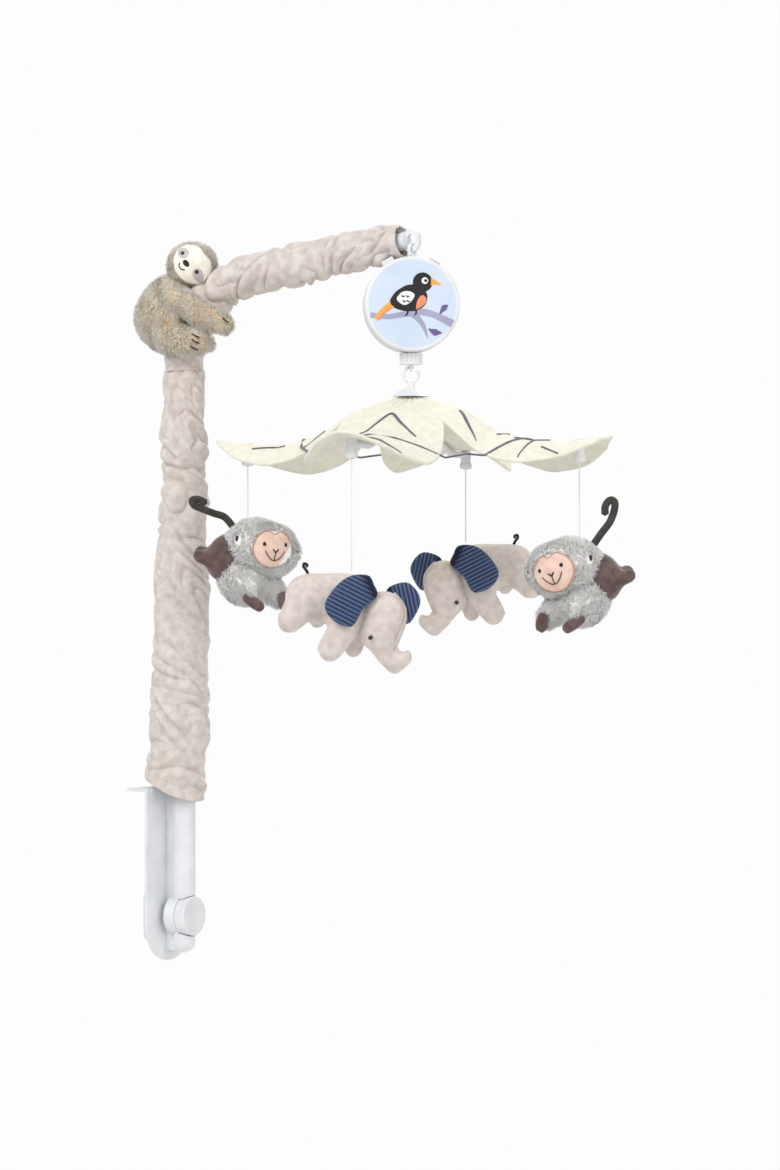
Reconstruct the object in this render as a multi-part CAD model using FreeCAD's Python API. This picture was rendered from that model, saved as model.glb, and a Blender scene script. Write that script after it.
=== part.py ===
import FreeCAD, Part
import math
import os

# Crib mobile, millimetres. The origin is where the rail bracket's back meets the underside of its
# lip, +X is the way the arm reaches, +Z is up. Every sub-part is one STEP file in parts/.

V = FreeCAD.Vector
UP = V(0, 0, 1)
REACH = V(1, 0, 0)

# Rail bracket and clamp
PLATE_THICKNESS = 3.0
PLATE_HALF_WIDTH = 35.0
PLATE_BOTTOM = -156.0
LIP_LENGTH = 20.5
PAD_THICKNESS = 1.5
CLAMP_AXIS_Z = -114.5
BOSS_RADIUS = 18.0
KNOB_BACK = 20.6
KNOB_FRONT = 31.0
JAW_BACK = -12.5
JAW_FRONT = -8.0
BOLT_RADIUS = 3.0
BOLT_TIP = 28.0
INSERT_RADIUS = 5.5
RUNNING_GAP = 0.05

# Arm
POST_X = 19.0
POST_RADIUS = 10.5
ARM_RADIUS = 8.0
ARM_BORE = 6.0
SPIGOT_Z = 150.0
BEND_Z = 385.0
BEND_RADIUS = 86.0
ARM_SLOPE = 8.05
ARM_END_X = 256.0

# Sleeve: height, centre and radius of each section, and the slanted hem
SLEEVE_WALL = 3.0
SLEEVE_SECTIONS = ((-20, 5.5, 29.0), (37, 11.5, 27.0), (83, 15, 25.5), (175, 16, 25.0),
                   (240, 17.5, 21.5), (290, 18.5, 19.5), (385, 19.0, 18.0))
SLEEVE_RADIUS = 18.0
SLEEVE_TIP_RADIUS = 13.3
SLEEVE_TAPER = 62.0
HEM_BACK_Z = 15.0
HEM_SLOPE = 24.0

# Hanging ring at the arm's end, and the loop that hangs on it
HUB_X = 265.0
RING_HOLE_HALF = 4.0
RING_WALL = 4.4
RING_HALF_THICKNESS = 2.0
RING_BAR_TOP = 487.7
RING_HOLE_TOP = 499.2
LOOP_WIRE = 1.5
LOOP_HALF_WIDTH = 4.8
LOOP_GAP = 1.1
LOOP_TOP = RING_BAR_TOP + LOOP_GAP + LOOP_WIRE
LOOP_BOTTOM = 480.8

# Music box
BOX_TURN = 35.9
BOX_Z = 436.3
BOX_RADIUS = 42.0
BOX_INNER = 39.6
BOX_HALF = 18.0
BOX_FRONT_WALL = 3.0
BOX_BACK_WALL = 2.5
DISC_RADIUS = 38.5
DISC_THICKNESS = 1.6
CONTROL_ANGLE = 28.3
DOOR_HALF = 23.0
DOOR_LOW = 434.5
DOOR_HIGH = 465.0
DOOR_GAP = 0.3
SCREW_ANGLES = (10, 140, 215)
SCREW_CIRCLE = 33.8

# Gear train, vertical axes
MODULE = 0.6
OUTPUT_TEETH = 30
IDLER_SMALL_TEETH = 12
IDLER_LARGE_TEETH = 28
PINION_TEETH = 10
LOW_PLATE_Z = 405.5
LOW_GEAR_Z = 408.2
HIGH_GEAR_Z = 413.0
HIGH_PLATE_Z = 417.3
GEAR_PLATE = 2.0
GEAR_HEIGHT = 3.6
IDLER_U = MODULE * (OUTPUT_TEETH + IDLER_SMALL_TEETH) / 2
PINION_U = IDLER_U - MODULE * (IDLER_LARGE_TEETH + PINION_TEETH) / 2

# Drive cap, hook and hub
CAP_TOP = 393.8
CAP_BOTTOM = 383.8
CAP_RADIUS = 10.2
EYE_WIRE = 1.2
EYE_MEAN = 3.2
HOOK_WIRE = 1.3
HOOK_MEAN = 6.7
HOOK_Z = 374.8
HOOK_TOP = HOOK_Z + HOOK_MEAN
EYE_Z = HOOK_TOP - HOOK_WIRE - EYE_WIRE - 0.3 + EYE_MEAN
HOOK_TURN = 32.4
STEM_RADIUS = 3.3
HUB_CAP_TOP = 361.4
HUB_CAP_BOTTOM = 355.5
HUB_CAP_RADIUS = 16.5

# Spokes, leaves and strings. Spokes are named left, near, far and right.
SPOKE_LENGTH = 155.0
SPOKE_RADIUS = 3.0
SPOKE_ANGLES = {"left": 193.1, "near": 283.1, "far": 103.1, "right": 13.1}
SPOKE_LINE = ((6, 350.5), (46, 337.5), (80, 317), (110, 308.5), (SPOKE_LENGTH, 308.5))
LEAF_THICKNESS = 3.0
LEAF_SECTIONS = ((9, 8, 355.0, 1), (30, 28, 348.5, 6), (50, 46, 342.5, 12), (80, 53, 323, 19),
                 (115, 54, 315, 21), (148, 42, 315, 14), (170, 22, 317, 6), (182, 4, 319, 1))
KNOT_Z = 298.8
KNOT_RADIUS = 4.0
SOCKET_GAP = 0.35
STRING_RADIUS = 0.6
STRING_ENDS = {"left": 249.0, "near": 200.0, "far": 228.0, "right": 231.0}
HANG_SHIFTS = {"left": (-1.0, 1.8, 0), "near": (3.5, 3.2, 0), "far": (-4.0, -3.2, 0), "right": (-1.0, -1.8, 0)}
LEFT_TAIL = [(-12, 2, -8), (-20, 3, 1), (-30, 3, 4.5), (-39, 3, 9.5), (-45, 3, 14.5), (-42, 3, 18.5), (-34, 3, 16)]
RIGHT_TAIL = [(-10, 2, -9), (-18, 3, 2.5), (-25.5, 3, 12.5), (-29.5, 3, 22.5), (-30, 3, 30), (-26, 3, 32), (-22, 3, 27), (-21.5, 3, 20)]
STRING_GAP = 0.4


def cylinder(radius, start, axis, length):
    return Part.makeCylinder(radius, length, V(*start), V(*axis))


def block(low, high):
    size = V(*high) - V(*low)
    return Part.makeBox(size.x, size.y, size.z, V(*low))


def ball(radius, centre):
    return Part.makeSphere(radius, V(*centre))


def join(shapes):
    return shapes[0].multiFuse(list(shapes[1:])).removeSplitter()


def rod(points, radii):
    """A round limb: straight lengths between the points, with a ball at each of them."""
    shapes = [ball(r, p) for p, r in zip(points, radii)]
    for start, end, r0, r1 in zip(points, points[1:], radii, radii[1:]):
        line = V(*end) - V(*start)
        if abs(r0 - r1) < 0.01:
            shapes.append(Part.makeCylinder(r0, line.Length, V(*start), line))
        else:
            shapes.append(Part.makeCone(r0, r1, line.Length, V(*start), line))
    return join(shapes)


def rounded_wire(points, radius):
    """Straight runs joined by tangent arcs of one radius."""
    edges = []
    last = points[0]
    for before, corner, after in zip(points, points[1:], points[2:]):
        into = (corner - before).normalize()
        out = (after - corner).normalize()
        turn = into.getAngle(out)
        cut = radius * math.tan(turn / 2)
        start = corner - into * cut
        end = corner + out * cut
        middle = corner + (out - into).normalize() * (radius / math.cos(turn / 2) - radius)
        edges.append(Part.LineSegment(last, start).toShape())
        edges.append(Part.Arc(start, middle, end).toShape())
        last = end
    edges.append(Part.LineSegment(last, points[-1]).toShape())
    return Part.Wire(edges)


def pipe(path, radius):
    """A round bar swept along a wire."""
    edge = path.Edges[0]
    direction = edge.tangentAt(edge.FirstParameter)
    circle = Part.Wire(Part.makeCircle(radius, path.Vertexes[0].Point, direction))
    return Part.Wire(path.Edges).makePipeShell([circle], True, False)


def box_place(shape):
    """Turns and moves a piece from the music box's own axes to its place under the arm."""
    shape = shape.copy()
    shape.rotate(V(0, 0, 0), UP, BOX_TURN)
    shape.translate(V(HUB_X, 0, 0))
    return shape


def hub_place(shape, angle):
    """Turns and moves a piece made along +X to a spoke's direction at the hub."""
    shape = shape.copy()
    shape.rotate(V(0, 0, 0), UP, angle)
    shape.translate(V(HUB_X, 0, 0))
    return shape


# Bracket and clamp

def rail_bracket():
    lip = block((-LIP_LENGTH, -PLATE_HALF_WIDTH, 0), (PLATE_THICKNESS, PLATE_HALF_WIDTH, 3.0))
    middle = PLATE_BOTTOM + PLATE_HALF_WIDTH
    plate = block((0, -PLATE_HALF_WIDTH, middle), (PLATE_THICKNESS, PLATE_HALF_WIDTH, 1.5))
    foot = cylinder(PLATE_HALF_WIDTH, (0, 0, middle), (1, 0, 0), PLATE_THICKNESS)
    shape = join([lip, plate, foot])
    corner = [e for e in shape.Edges if abs(e.BoundBox.XMin) < 0.01 and e.BoundBox.XLength < 0.01
              and abs(e.BoundBox.ZMax) < 0.01 and e.BoundBox.ZLength < 0.01]
    shape = shape.makeFillet(1.2, corner)
    shape = shape.cut(cylinder(BOLT_RADIUS + 0.4, (-5, 0, CLAMP_AXIS_Z), (1, 0, 0), 15))
    for y, z in bracket_screw_places():
        shape = shape.cut(screw_tool(y, z, 0.0))
    return shape


def bracket_screw_places():
    return [(y, z) for z in (-20.0, -68.0) for y in (-3.0, 3.0)]


def screw_tool(y, z, gap):
    """A countersunk screw from the plate's back into the post's web."""
    head = Part.makeCone(2.4 + gap, 1.0 + gap, 1.6, V(0, y, z), REACH)
    shank = cylinder(1.0 + gap, (1.6, y, z), (1, 0, 0), 9.0)
    return join([head, shank])


def bracket_screws():
    return Part.makeCompound([screw_tool(y, z, 0.0) for y, z in bracket_screw_places()])


def rail_pads():
    """Two rubber strips on the plate's back, either side of the bolt."""
    low = CLAMP_AXIS_Z - 22.0
    return Part.makeCompound([
        block((-PAD_THICKNESS, y - 6.0, low), (0, y + 6.0, -12.0)) for y in (-22.0, 22.0)])


def lower_arm():
    """Post with its web, boss and neck; the tube above is the spigot that the arm plugs onto."""
    post = cylinder(POST_RADIUS, (POST_X, 0, -138.0), (0, 0, 1), 138.0 + SPIGOT_Z)
    toe = ball(POST_RADIUS, (POST_X, 0, -138.0))
    web = block((PLATE_THICKNESS, -5, -146), (POST_X, 5, 40))
    neck = block((PLATE_THICKNESS, -15, 4.0), (POST_X + 8.0, 15, 42.0))
    boss = cylinder(BOSS_RADIUS, (8.5, 0, CLAMP_AXIS_Z), (1, 0, 0), KNOB_BACK - 0.6 - 8.5)
    shape = join([post, toe, web, neck, boss])
    pocket = cylinder(BOSS_RADIUS + 0.8, (KNOB_BACK - 0.6, 0, CLAMP_AXIS_Z), (1, 0, 0), 30)
    bore = cylinder(INSERT_RADIUS + 2.5, (7.0, 0, CLAMP_AXIS_Z), (1, 0, 0), 30)
    bolt_hole = cylinder(BOLT_RADIUS + 0.4, (-5, 0, CLAMP_AXIS_Z), (1, 0, 0), 40)
    spigot_bore = cylinder(ARM_RADIUS, (POST_X, 0, SPIGOT_Z - 40), (0, 0, 1), 50)
    for tool in (pocket, bore, bolt_hole, spigot_bore):
        shape = shape.cut(tool)
    for y, z in bracket_screw_places():
        shape = shape.cut(screw_tool(y, z, 0.0))
    return shape


def clamp_knob():
    """Grooved cap with a stem that turns inside the boss."""
    axis = (1, 0, 0)
    length = KNOB_FRONT - KNOB_BACK
    cap = cylinder(BOSS_RADIUS, (KNOB_BACK, 0, CLAMP_AXIS_Z), axis, length)
    cap = cap.makeFillet(1.2, [e for e in cap.Edges if e.BoundBox.XLength < 0.01
                               and e.BoundBox.XMin > KNOB_FRONT - 0.1])
    grooves = [Part.makeTorus(BOSS_RADIUS + 0.2, 0.5, V(KNOB_BACK + x, 0, CLAMP_AXIS_Z), REACH)
               for x in (2.4, 4.6, 6.8)]
    stem = cylinder(INSERT_RADIUS + 2.1, (7.6, 0, CLAMP_AXIS_Z), axis, KNOB_BACK - 7.6 + 1.0)
    shape = join([cap, stem])
    for groove in grooves:
        shape = shape.cut(groove)
    shape = shape.cut(cylinder(INSERT_RADIUS, (0, 0, CLAMP_AXIS_Z), axis, 21.0))
    return shape.cut(cylinder(BOLT_RADIUS + 0.4, (0, 0, CLAMP_AXIS_Z), axis, BOLT_TIP + 1.0))


def knob_insert():
    sleeve = cylinder(INSERT_RADIUS, (8.0, 0, CLAMP_AXIS_Z), (1, 0, 0), 13.0)
    return sleeve.cut(cylinder(BOLT_RADIUS + RUNNING_GAP, (0, 0, CLAMP_AXIS_Z), (1, 0, 0), 40))


def clamp_jaw():
    """Rear jaw: a round-cornered plate with a rib round the bolt's square neck."""
    plate = block((JAW_BACK, -20, CLAMP_AXIS_Z - 24), (JAW_FRONT, 20, CLAMP_AXIS_Z + 24))
    plate = plate.makeFillet(9.0, [e for e in plate.Edges if e.BoundBox.XLength > 4
                                   and e.BoundBox.YLength < 0.1 and e.BoundBox.ZLength < 0.1])
    rib = cylinder(9.0, (JAW_BACK - 2.0, 0, CLAMP_AXIS_Z), (1, 0, 0), 3.0)
    return join([plate, rib]).cut(bolt_shape())


def jaw_pad():
    pad = block((JAW_FRONT, -17, CLAMP_AXIS_Z - 21), (-PAD_THICKNESS - 0.5, 17, CLAMP_AXIS_Z + 21))
    pad = pad.makeFillet(7.0, [e for e in pad.Edges if e.BoundBox.XLength > 4
                               and e.BoundBox.YLength < 0.1 and e.BoundBox.ZLength < 0.1])
    return pad.cut(cylinder(BOLT_RADIUS + 1.0, (-30, 0, CLAMP_AXIS_Z), (1, 0, 0), 40))


def bolt_shape():
    """Carriage bolt: domed head, square neck, straight shank."""
    head = cylinder(7.0, (JAW_BACK - 4.0, 0, CLAMP_AXIS_Z), (1, 0, 0), 2.6)
    head = head.makeFillet(1.2, [e for e in head.Edges if e.BoundBox.XMax < JAW_BACK - 3.9])
    neck = block((JAW_BACK - 1.5, -BOLT_RADIUS, CLAMP_AXIS_Z - BOLT_RADIUS),
                 (JAW_FRONT, BOLT_RADIUS, CLAMP_AXIS_Z + BOLT_RADIUS))
    shank = cylinder(BOLT_RADIUS, (JAW_FRONT - 1, 0, CLAMP_AXIS_Z), (1, 0, 0), BOLT_TIP - JAW_FRONT + 1)
    return join([head, neck, shank])


# Arm and sleeve

def arm_direction():
    slope = math.radians(ARM_SLOPE)
    return V(math.cos(slope), 0, math.sin(slope))


def bend_end():
    """The point where the bend's arc runs out into the straight arm."""
    slope = math.radians(ARM_SLOPE)
    return V(POST_X + BEND_RADIUS * (1 - math.sin(slope)), 0, BEND_Z + BEND_RADIUS * math.cos(slope))


def bend_arc():
    centre = V(POST_X + BEND_RADIUS, 0, BEND_Z)
    half = math.radians(180 - (90 - ARM_SLOPE) / 2)
    middle = centre + V(math.cos(half), 0, math.sin(half)) * BEND_RADIUS
    return Part.Arc(V(POST_X, 0, BEND_Z), middle, bend_end()).toShape()


def arm_point(x):
    """The arm's centre at a given reach, on the straight length."""
    start = bend_end()
    return start + arm_direction() * ((x - start.x) / arm_direction().x)


def arm_path(low_z, end_x):
    post = Part.LineSegment(V(POST_X, 0, low_z), V(POST_X, 0, BEND_Z)).toShape()
    out = Part.LineSegment(bend_end(), arm_point(end_x)).toShape()
    return Part.Wire([post, bend_arc(), out])


def upper_arm():
    low = SPIGOT_Z - 40
    return pipe(arm_path(low, ARM_END_X), ARM_RADIUS).cut(pipe(arm_path(low, ARM_END_X), ARM_BORE))


def arm_tip():
    """Plug in the arm's end, with the closed ring that the music box hangs on."""
    start = arm_point(ARM_END_X)
    plug = Part.makeCylinder(ARM_BORE, 22, start - arm_direction() * 18, arm_direction())
    collar = Part.makeCylinder(ARM_RADIUS, 5, start, arm_direction())
    outer = RING_HOLE_HALF + RING_WALL
    low = RING_BAR_TOP + RING_HOLE_HALF
    high = RING_HOLE_TOP - RING_HOLE_HALF
    centre = HUB_X + 1.0
    slab = []
    for radius, z in ((outer, low), (outer, high)):
        slab.append(cylinder(radius, (centre, -RING_HALF_THICKNESS, z), (0, 1, 0), 2 * RING_HALF_THICKNESS))
    slab.append(block((centre - outer, -RING_HALF_THICKNESS, low), (centre + outer, RING_HALF_THICKNESS, high)))
    shape = join([plug, collar] + slab)
    for z in (low, high):
        shape = shape.cut(cylinder(RING_HOLE_HALF, (centre, -20, z), (0, 1, 0), 40))
    return shape.cut(block((centre - RING_HOLE_HALF, -20, low), (centre + RING_HOLE_HALF, 20, high)))


def sleeve_loft(inset):
    circles = []
    for z, x, radius in SLEEVE_SECTIONS:
        circles.append(Part.Wire(Part.makeCircle(radius - inset, V(x, 0, z), UP)))
    return Part.makeLoft(circles, True, True)


def sleeve_lower():
    """Fabric tube round the post; its hem hangs lower in front than over the bracket's lip."""
    shape = sleeve_loft(0).cut(sleeve_loft(SLEEVE_WALL))
    under = block((-200, -100, -300), (200, 100, 0))
    under.rotate(V(0, 0, 0), V(0, 1, 0), HEM_SLOPE)
    under.translate(V(-21, 0, HEM_BACK_Z))
    return shape.cut(under)


def sleeve_bar(inset):
    taper_start = ARM_END_X - SLEEVE_TAPER
    radius = SLEEVE_RADIUS - inset
    bend = pipe(Part.Wire([bend_arc(), Part.LineSegment(bend_end(), arm_point(taper_start)).toShape()]), radius)
    length = SLEEVE_TAPER / arm_direction().x
    tip = Part.makeCone(radius, SLEEVE_TIP_RADIUS - inset, length, arm_point(taper_start), arm_direction())
    return join([bend, tip])


def sleeve_upper():
    return sleeve_bar(0).cut(sleeve_bar(SLEEVE_WALL))


# Plush sloth on the bend

def sloth_body():
    """Body on the outside of the bend, with an arm and a leg across the front of the sleeve."""
    trunk = rod([(2, -3, 435), (8, -3, 446)], [31.5, 29.5])
    near_arm = rod([(22, -22, 453), (56, -30, 437), (79, -22, 425)], [14, 13, 11.5])
    near_leg = rod([(5, -14, 418), (31, -25, 411), (54, -27, 409)], [16.5, 16, 13.5])
    far_arm = rod([(20, 22, 455), (44, 26, 444)], [11, 9.5])
    far_leg = rod([(4, 18, 418), (24, 27, 412)], [13, 11])
    shape = join([trunk, near_arm, near_leg, far_arm, far_leg])
    return shape.cut(sleeve_bar(-0.2)).cut(sleeve_loft(-0.2)).cut(sloth_head_bar())


def sloth_head_bar():
    return rod([(31, -9, 481.5), (38, -9, 481.5)], [21, 21])


def sloth_head():
    return sloth_head_bar().cut(sleeve_bar(-0.2))


# Music box, made about its own axes: x along the face, y away from the face, z up

def stem_loop():
    """Tall loop in the arm's ring, with a stem that swivels in the music box's top."""
    low = LOOP_BOTTOM + LOOP_HALF_WIDTH
    high = LOOP_TOP - LOOP_HALF_WIDTH
    top = Part.Arc(V(0, -LOOP_HALF_WIDTH, high), V(0, 0, LOOP_TOP), V(0, LOOP_HALF_WIDTH, high)).toShape()
    path = Part.Wire([top])
    bar = pipe(path, LOOP_WIRE)
    base_z = LOOP_BOTTOM
    parts = [bar]
    for y in (-LOOP_HALF_WIDTH, LOOP_HALF_WIDTH):
        parts.append(cylinder(LOOP_WIRE, (0, y, base_z), (0, 0, 1), high - base_z))
        parts.append(ball(LOOP_WIRE, (0, y, base_z)))
    parts.append(cylinder(LOOP_WIRE, (0, -LOOP_HALF_WIDTH, base_z), (0, 1, 0), 2 * LOOP_HALF_WIDTH))
    parts.append(cylinder(2.0, (0, 0, 472.6), (0, 0, 1), base_z - 472.6))
    parts.append(cylinder(4.5, (0, 0, 472.6), (0, 0, 1), 1.6))
    shape = join(parts)
    shape.translate(V(HUB_X + 1.0, 0, 0))
    return shape


def shell_blank(front):
    """Half of the drum: a shallow cup with a rounded outer rim."""
    start = -BOX_HALF if front else 0
    wall = BOX_FRONT_WALL if front else BOX_BACK_WALL
    outer = cylinder(BOX_RADIUS, (0, start, BOX_Z), (0, 1, 0), BOX_HALF)
    face_y = -BOX_HALF if front else BOX_HALF
    rim = [e for e in outer.Edges if abs(e.BoundBox.YMin - face_y) < 0.01 and e.BoundBox.YLength < 0.01]
    outer = outer.makeFillet(2.2, rim)
    inner_start = start + wall if front else start
    return outer.cut(cylinder(BOX_INNER, (0, inner_start, BOX_Z), (0, 1, 0), BOX_HALF - wall))


def shell_cuts():
    """Openings that both halves share: shaft, swivel stem, button and switch."""
    loop_x = V(1.0, 0, 0)
    cuts = [cylinder(2.3, (0, 0, 390), (0, 0, 1), 12)]
    stem = V(math.cos(math.radians(BOX_TURN)), -math.sin(math.radians(BOX_TURN)), 0) * loop_x.x
    cuts.append(cylinder(2.3, (stem.x, stem.y, 474.6), (0, 0, 1), 6))
    cuts.append(control_shape(-CONTROL_ANGLE, 6.0 - 0.6, 0.35, 30, 60))
    cuts.append(control_shape(CONTROL_ANGLE, 4.0, 0.35, 30, 60))
    return cuts


def control_shape(angle, half, gap, inner, outer):
    """A block on the rim, standing out along a radius; half is its half-length round the rim."""
    shape = block((-half - gap, -4 - gap, inner), (half + gap, 4 + gap, outer))
    shape.rotate(V(0, 0, 0), V(0, 1, 0), angle)
    shape.translate(V(0, 0, BOX_Z))
    return shape


def screw_centre(angle):
    a = math.radians(angle)
    return SCREW_CIRCLE * math.cos(a), BOX_Z + SCREW_CIRCLE * math.sin(a)


def front_shell():
    shape = shell_blank(True)
    bosses = []
    for angle in SCREW_ANGLES:
        u, z = screw_centre(angle)
        bosses.append(cylinder(3.2, (u, -BOX_HALF + 1.5, z), (0, 1, 0), BOX_HALF - 1.7))
    shape = join([shape] + bosses)
    for cut in shell_cuts():
        shape = shape.cut(cut)
    shape = shape.cut(box_screw_set())
    return shape.cut(cylinder(DISC_RADIUS, (0, -BOX_HALF, BOX_Z), (0, 1, 0), DISC_THICKNESS))


def back_shell():
    shape = shell_blank(False)
    bosses = []
    for angle in SCREW_ANGLES:
        u, z = screw_centre(angle)
        bosses.append(cylinder(3.2, (u, 0, z), (0, 1, 0), BOX_HALF - 1.0))
    shape = join([shape] + bosses)
    for cut in shell_cuts():
        shape = shape.cut(cut)
    opening = block((-DOOR_HALF, 10, DOOR_LOW), (DOOR_HALF, 30, DOOR_HIGH))
    shape = shape.cut(opening).cut(box_screw_set())
    for row, z in enumerate((410.0, 416.0, 422.0)):
        for column in range(-2, 3):
            u = column * 5.0 + (row % 2) * 2.5
            shape = shape.cut(cylinder(1.1, (u, 10, z), (0, 1, 0), 12))
    return shape


def box_screw_set():
    """Screws from the back into the front half's bosses."""
    screws = []
    for angle in SCREW_ANGLES:
        u, z = screw_centre(angle)
        shank = cylinder(1.3, (u, -12, z), (0, 1, 0), 27)
        head = cylinder(2.6, (u, 14.6, z), (0, 1, 0), 1.9)
        well = cylinder(2.6, (u, 16.5, z), (0, 1, 0), 3)
        screws.append(join([shank, head, well]))
    return Part.makeCompound(screws)


def box_screws():
    screws = []
    for angle in SCREW_ANGLES:
        u, z = screw_centre(angle)
        shank = cylinder(1.3, (u, -12, z), (0, 1, 0), 27)
        head = cylinder(2.6, (u, 14.6, z), (0, 1, 0), 1.9)
        slot = block((u - 2, 15.9, z - 0.4), (u + 2, 17, z + 0.4))
        screws.append(join([shank, head]).cut(slot))
    return Part.makeCompound(screws)


def picture_disc():
    return cylinder(DISC_RADIUS, (0, -BOX_HALF, BOX_Z), (0, 1, 0), DISC_THICKNESS)


def battery_door():
    door = block((-DOOR_HALF + DOOR_GAP, 15.6, DOOR_LOW + DOOR_GAP),
                 (DOOR_HALF - DOOR_GAP, BOX_HALF, DOOR_HIGH - DOOR_GAP))
    corners = [e for e in door.Edges if e.BoundBox.YLength > 2]
    door = door.makeFillet(1.5, corners)
    for step in range(4):
        z = DOOR_HIGH - 5.0 - step * 1.8
        door = door.cut(block((-6, BOX_HALF - 0.5, z), (6, BOX_HALF + 1, z + 0.8)))
    return door


def batteries():
    cells = []
    for z in (461.2, 450.6, 440.0):
        can = cylinder(5.2, (-22.2, 8.6, z), (1, 0, 0), 43.4)
        button = cylinder(1.9, (21.2, 8.6, z), (1, 0, 0), 1.0)
        cells.append(join([can, button]))
    return Part.makeCompound(cells)


def circuit_board():
    board = block((-22, -14.4, 408), (22, -13.0, 452))
    chips = [block((-14, -13.0, 440), (-5, -11.8, 449)), block((2, -13.0, 442), (8, -12.0, 450)),
             block((14, -13.0, 438), (20, -10.5, 444))]
    capacitor = cylinder(3.0, (-17, -13.0, 432), (0, 1, 0), 5)
    return join([board, capacitor] + chips)


def speaker():
    frame = cylinder(14.0, (0, 13.0, 419.5), (0, 1, 0), 2.2)
    magnet = cylinder(8.0, (0, 9.8, 419.5), (0, 1, 0), 3.2)
    return join([frame, magnet])


def gear_frame():
    """Two plates and three pillars that hold the gears' axles and the motor."""
    low = block((-12, -6.5, LOW_PLATE_Z), (18, 6.5, LOW_PLATE_Z + GEAR_PLATE))
    high = block((-15, -6.5, HIGH_PLATE_Z), (24, 6.5, HIGH_PLATE_Z + GEAR_PLATE))
    pillars = [block((-15, -6.5, LOW_PLATE_Z), (-12, 6.5, HIGH_PLATE_Z + GEAR_PLATE))]
    axle = cylinder(1.0, (IDLER_U, 0, LOW_PLATE_Z), (0, 0, 1), HIGH_PLATE_Z - LOW_PLATE_Z + GEAR_PLATE)
    shape = join([low, high, axle] + pillars)
    shape = shape.cut(cylinder(2.0 + RUNNING_GAP, (0, 0, LOW_PLATE_Z - 5), (0, 0, 1), 10))
    return shape.cut(cylinder(2.6, (PINION_U, 0, HIGH_PLATE_Z - 1), (0, 0, 1), 6))


def motor():
    can = cylinder(7.4, (PINION_U, 0, HIGH_PLATE_Z + GEAR_PLATE), (0, 0, 1), 13.4)
    flats = block((-30, -6.4, 400), (30, 6.4, 440))
    return can.common(flats).cut(cylinder(1.0, (PINION_U, 0, 400), (0, 0, 1), 24))


def involute_angle(radius, base):
    """Angle that an involute turns through between its base circle and a radius."""
    if radius <= base:
        return 0.0
    roll = math.sqrt((radius / base) ** 2 - 1)
    return roll - math.atan(roll)


def gear(teeth, height, z, u, tooth_angle, bore):
    """Spur gear with straight-sided approximations of involute teeth, thinned for backlash."""
    pitch = MODULE * teeth / 2
    base = pitch * math.cos(math.radians(20))
    half_pitch_tooth = math.pi / (2 * teeth) - 0.07 / pitch
    radii = (pitch - 1.3 * MODULE, base, pitch, pitch + 0.9 * MODULE)
    points = []
    for tooth in range(teeth):
        centre = math.radians(tooth_angle) + 2 * math.pi * tooth / teeth
        flank = [(r, half_pitch_tooth + involute_angle(pitch, base) - involute_angle(r, base)) for r in radii]
        for r, half in flank:
            points.append(V(u + r * math.cos(centre - half), r * math.sin(centre - half), z))
        for r, half in reversed(flank):
            points.append(V(u + r * math.cos(centre + half), r * math.sin(centre + half), z))
    face = Part.Face(Part.makePolygon(points + [points[0]]))
    shape = face.extrude(V(0, 0, height))
    return shape.cut(cylinder(bore, (u, 0, z - 1), (0, 0, 1), height + 2))


def output_gear():
    return gear(OUTPUT_TEETH, GEAR_HEIGHT, LOW_GEAR_Z, 0, 0, 2.0)


def idler_gear():
    bore = 1.0 + RUNNING_GAP
    small = gear(IDLER_SMALL_TEETH, HIGH_GEAR_Z - LOW_GEAR_Z, LOW_GEAR_Z, IDLER_U,
                 180 + 180 / IDLER_SMALL_TEETH, bore)
    large = gear(IDLER_LARGE_TEETH, GEAR_HEIGHT, HIGH_GEAR_Z, IDLER_U, 180, bore)
    return join([small, large])


def motor_pinion():
    teeth = gear(PINION_TEETH, GEAR_HEIGHT, HIGH_GEAR_Z, PINION_U, 180 / PINION_TEETH, 0.9)
    shaft = cylinder(0.9, (PINION_U, 0, HIGH_GEAR_Z), (0, 0, 1), 10.5)
    return join([teeth, shaft])


def output_shaft():
    shaft = cylinder(2.0, (0, 0, CAP_TOP - 6), (0, 0, 1), LOW_GEAR_Z + GEAR_HEIGHT - CAP_TOP + 6)
    washer = cylinder(3.6, (0, 0, LOW_PLATE_Z + GEAR_PLATE + 0.1), (0, 0, 1), 0.5)
    return join([shaft, washer])


def play_button():
    """Flat-topped key on the rim: cap outside, stem and flange inside."""
    cap = control_shape(-CONTROL_ANGLE, 6.0 - 0.6, 0, BOX_INNER - 1.5, BOX_RADIUS + 4.0)
    flange = control_shape(-CONTROL_ANGLE, 6.6, 0, BOX_INNER - 4.0, BOX_INNER - 2.5)
    stem = control_shape(-CONTROL_ANGLE, 3.0, 0, BOX_INNER - 4.0, BOX_INNER)
    return join([cap, flange, stem])


def mode_switch():
    """Ribbed slider that travels round the rim."""
    cap = control_shape(CONTROL_ANGLE, 5.4, 0, BOX_RADIUS + 0.5, BOX_RADIUS + 2.6)
    neck = control_shape(CONTROL_ANGLE, 2.2, -1.5, BOX_INNER - 3.0, BOX_RADIUS + 0.5)
    foot = control_shape(CONTROL_ANGLE, 2.2, -1.5, BOX_INNER - 4.0, BOX_INNER - 3.0)
    shape = join([cap, neck, foot])
    for step in range(-2, 3):
        rib = block((step * 2.0 - 0.4, -10, BOX_RADIUS + 2.1), (step * 2.0 + 0.4, 10, BOX_RADIUS + 5))
        rib.rotate(V(0, 0, 0), V(0, 1, 0), CONTROL_ANGLE)
        rib.translate(V(0, 0, BOX_Z))
        shape = shape.cut(rib)
    return shape


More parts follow.
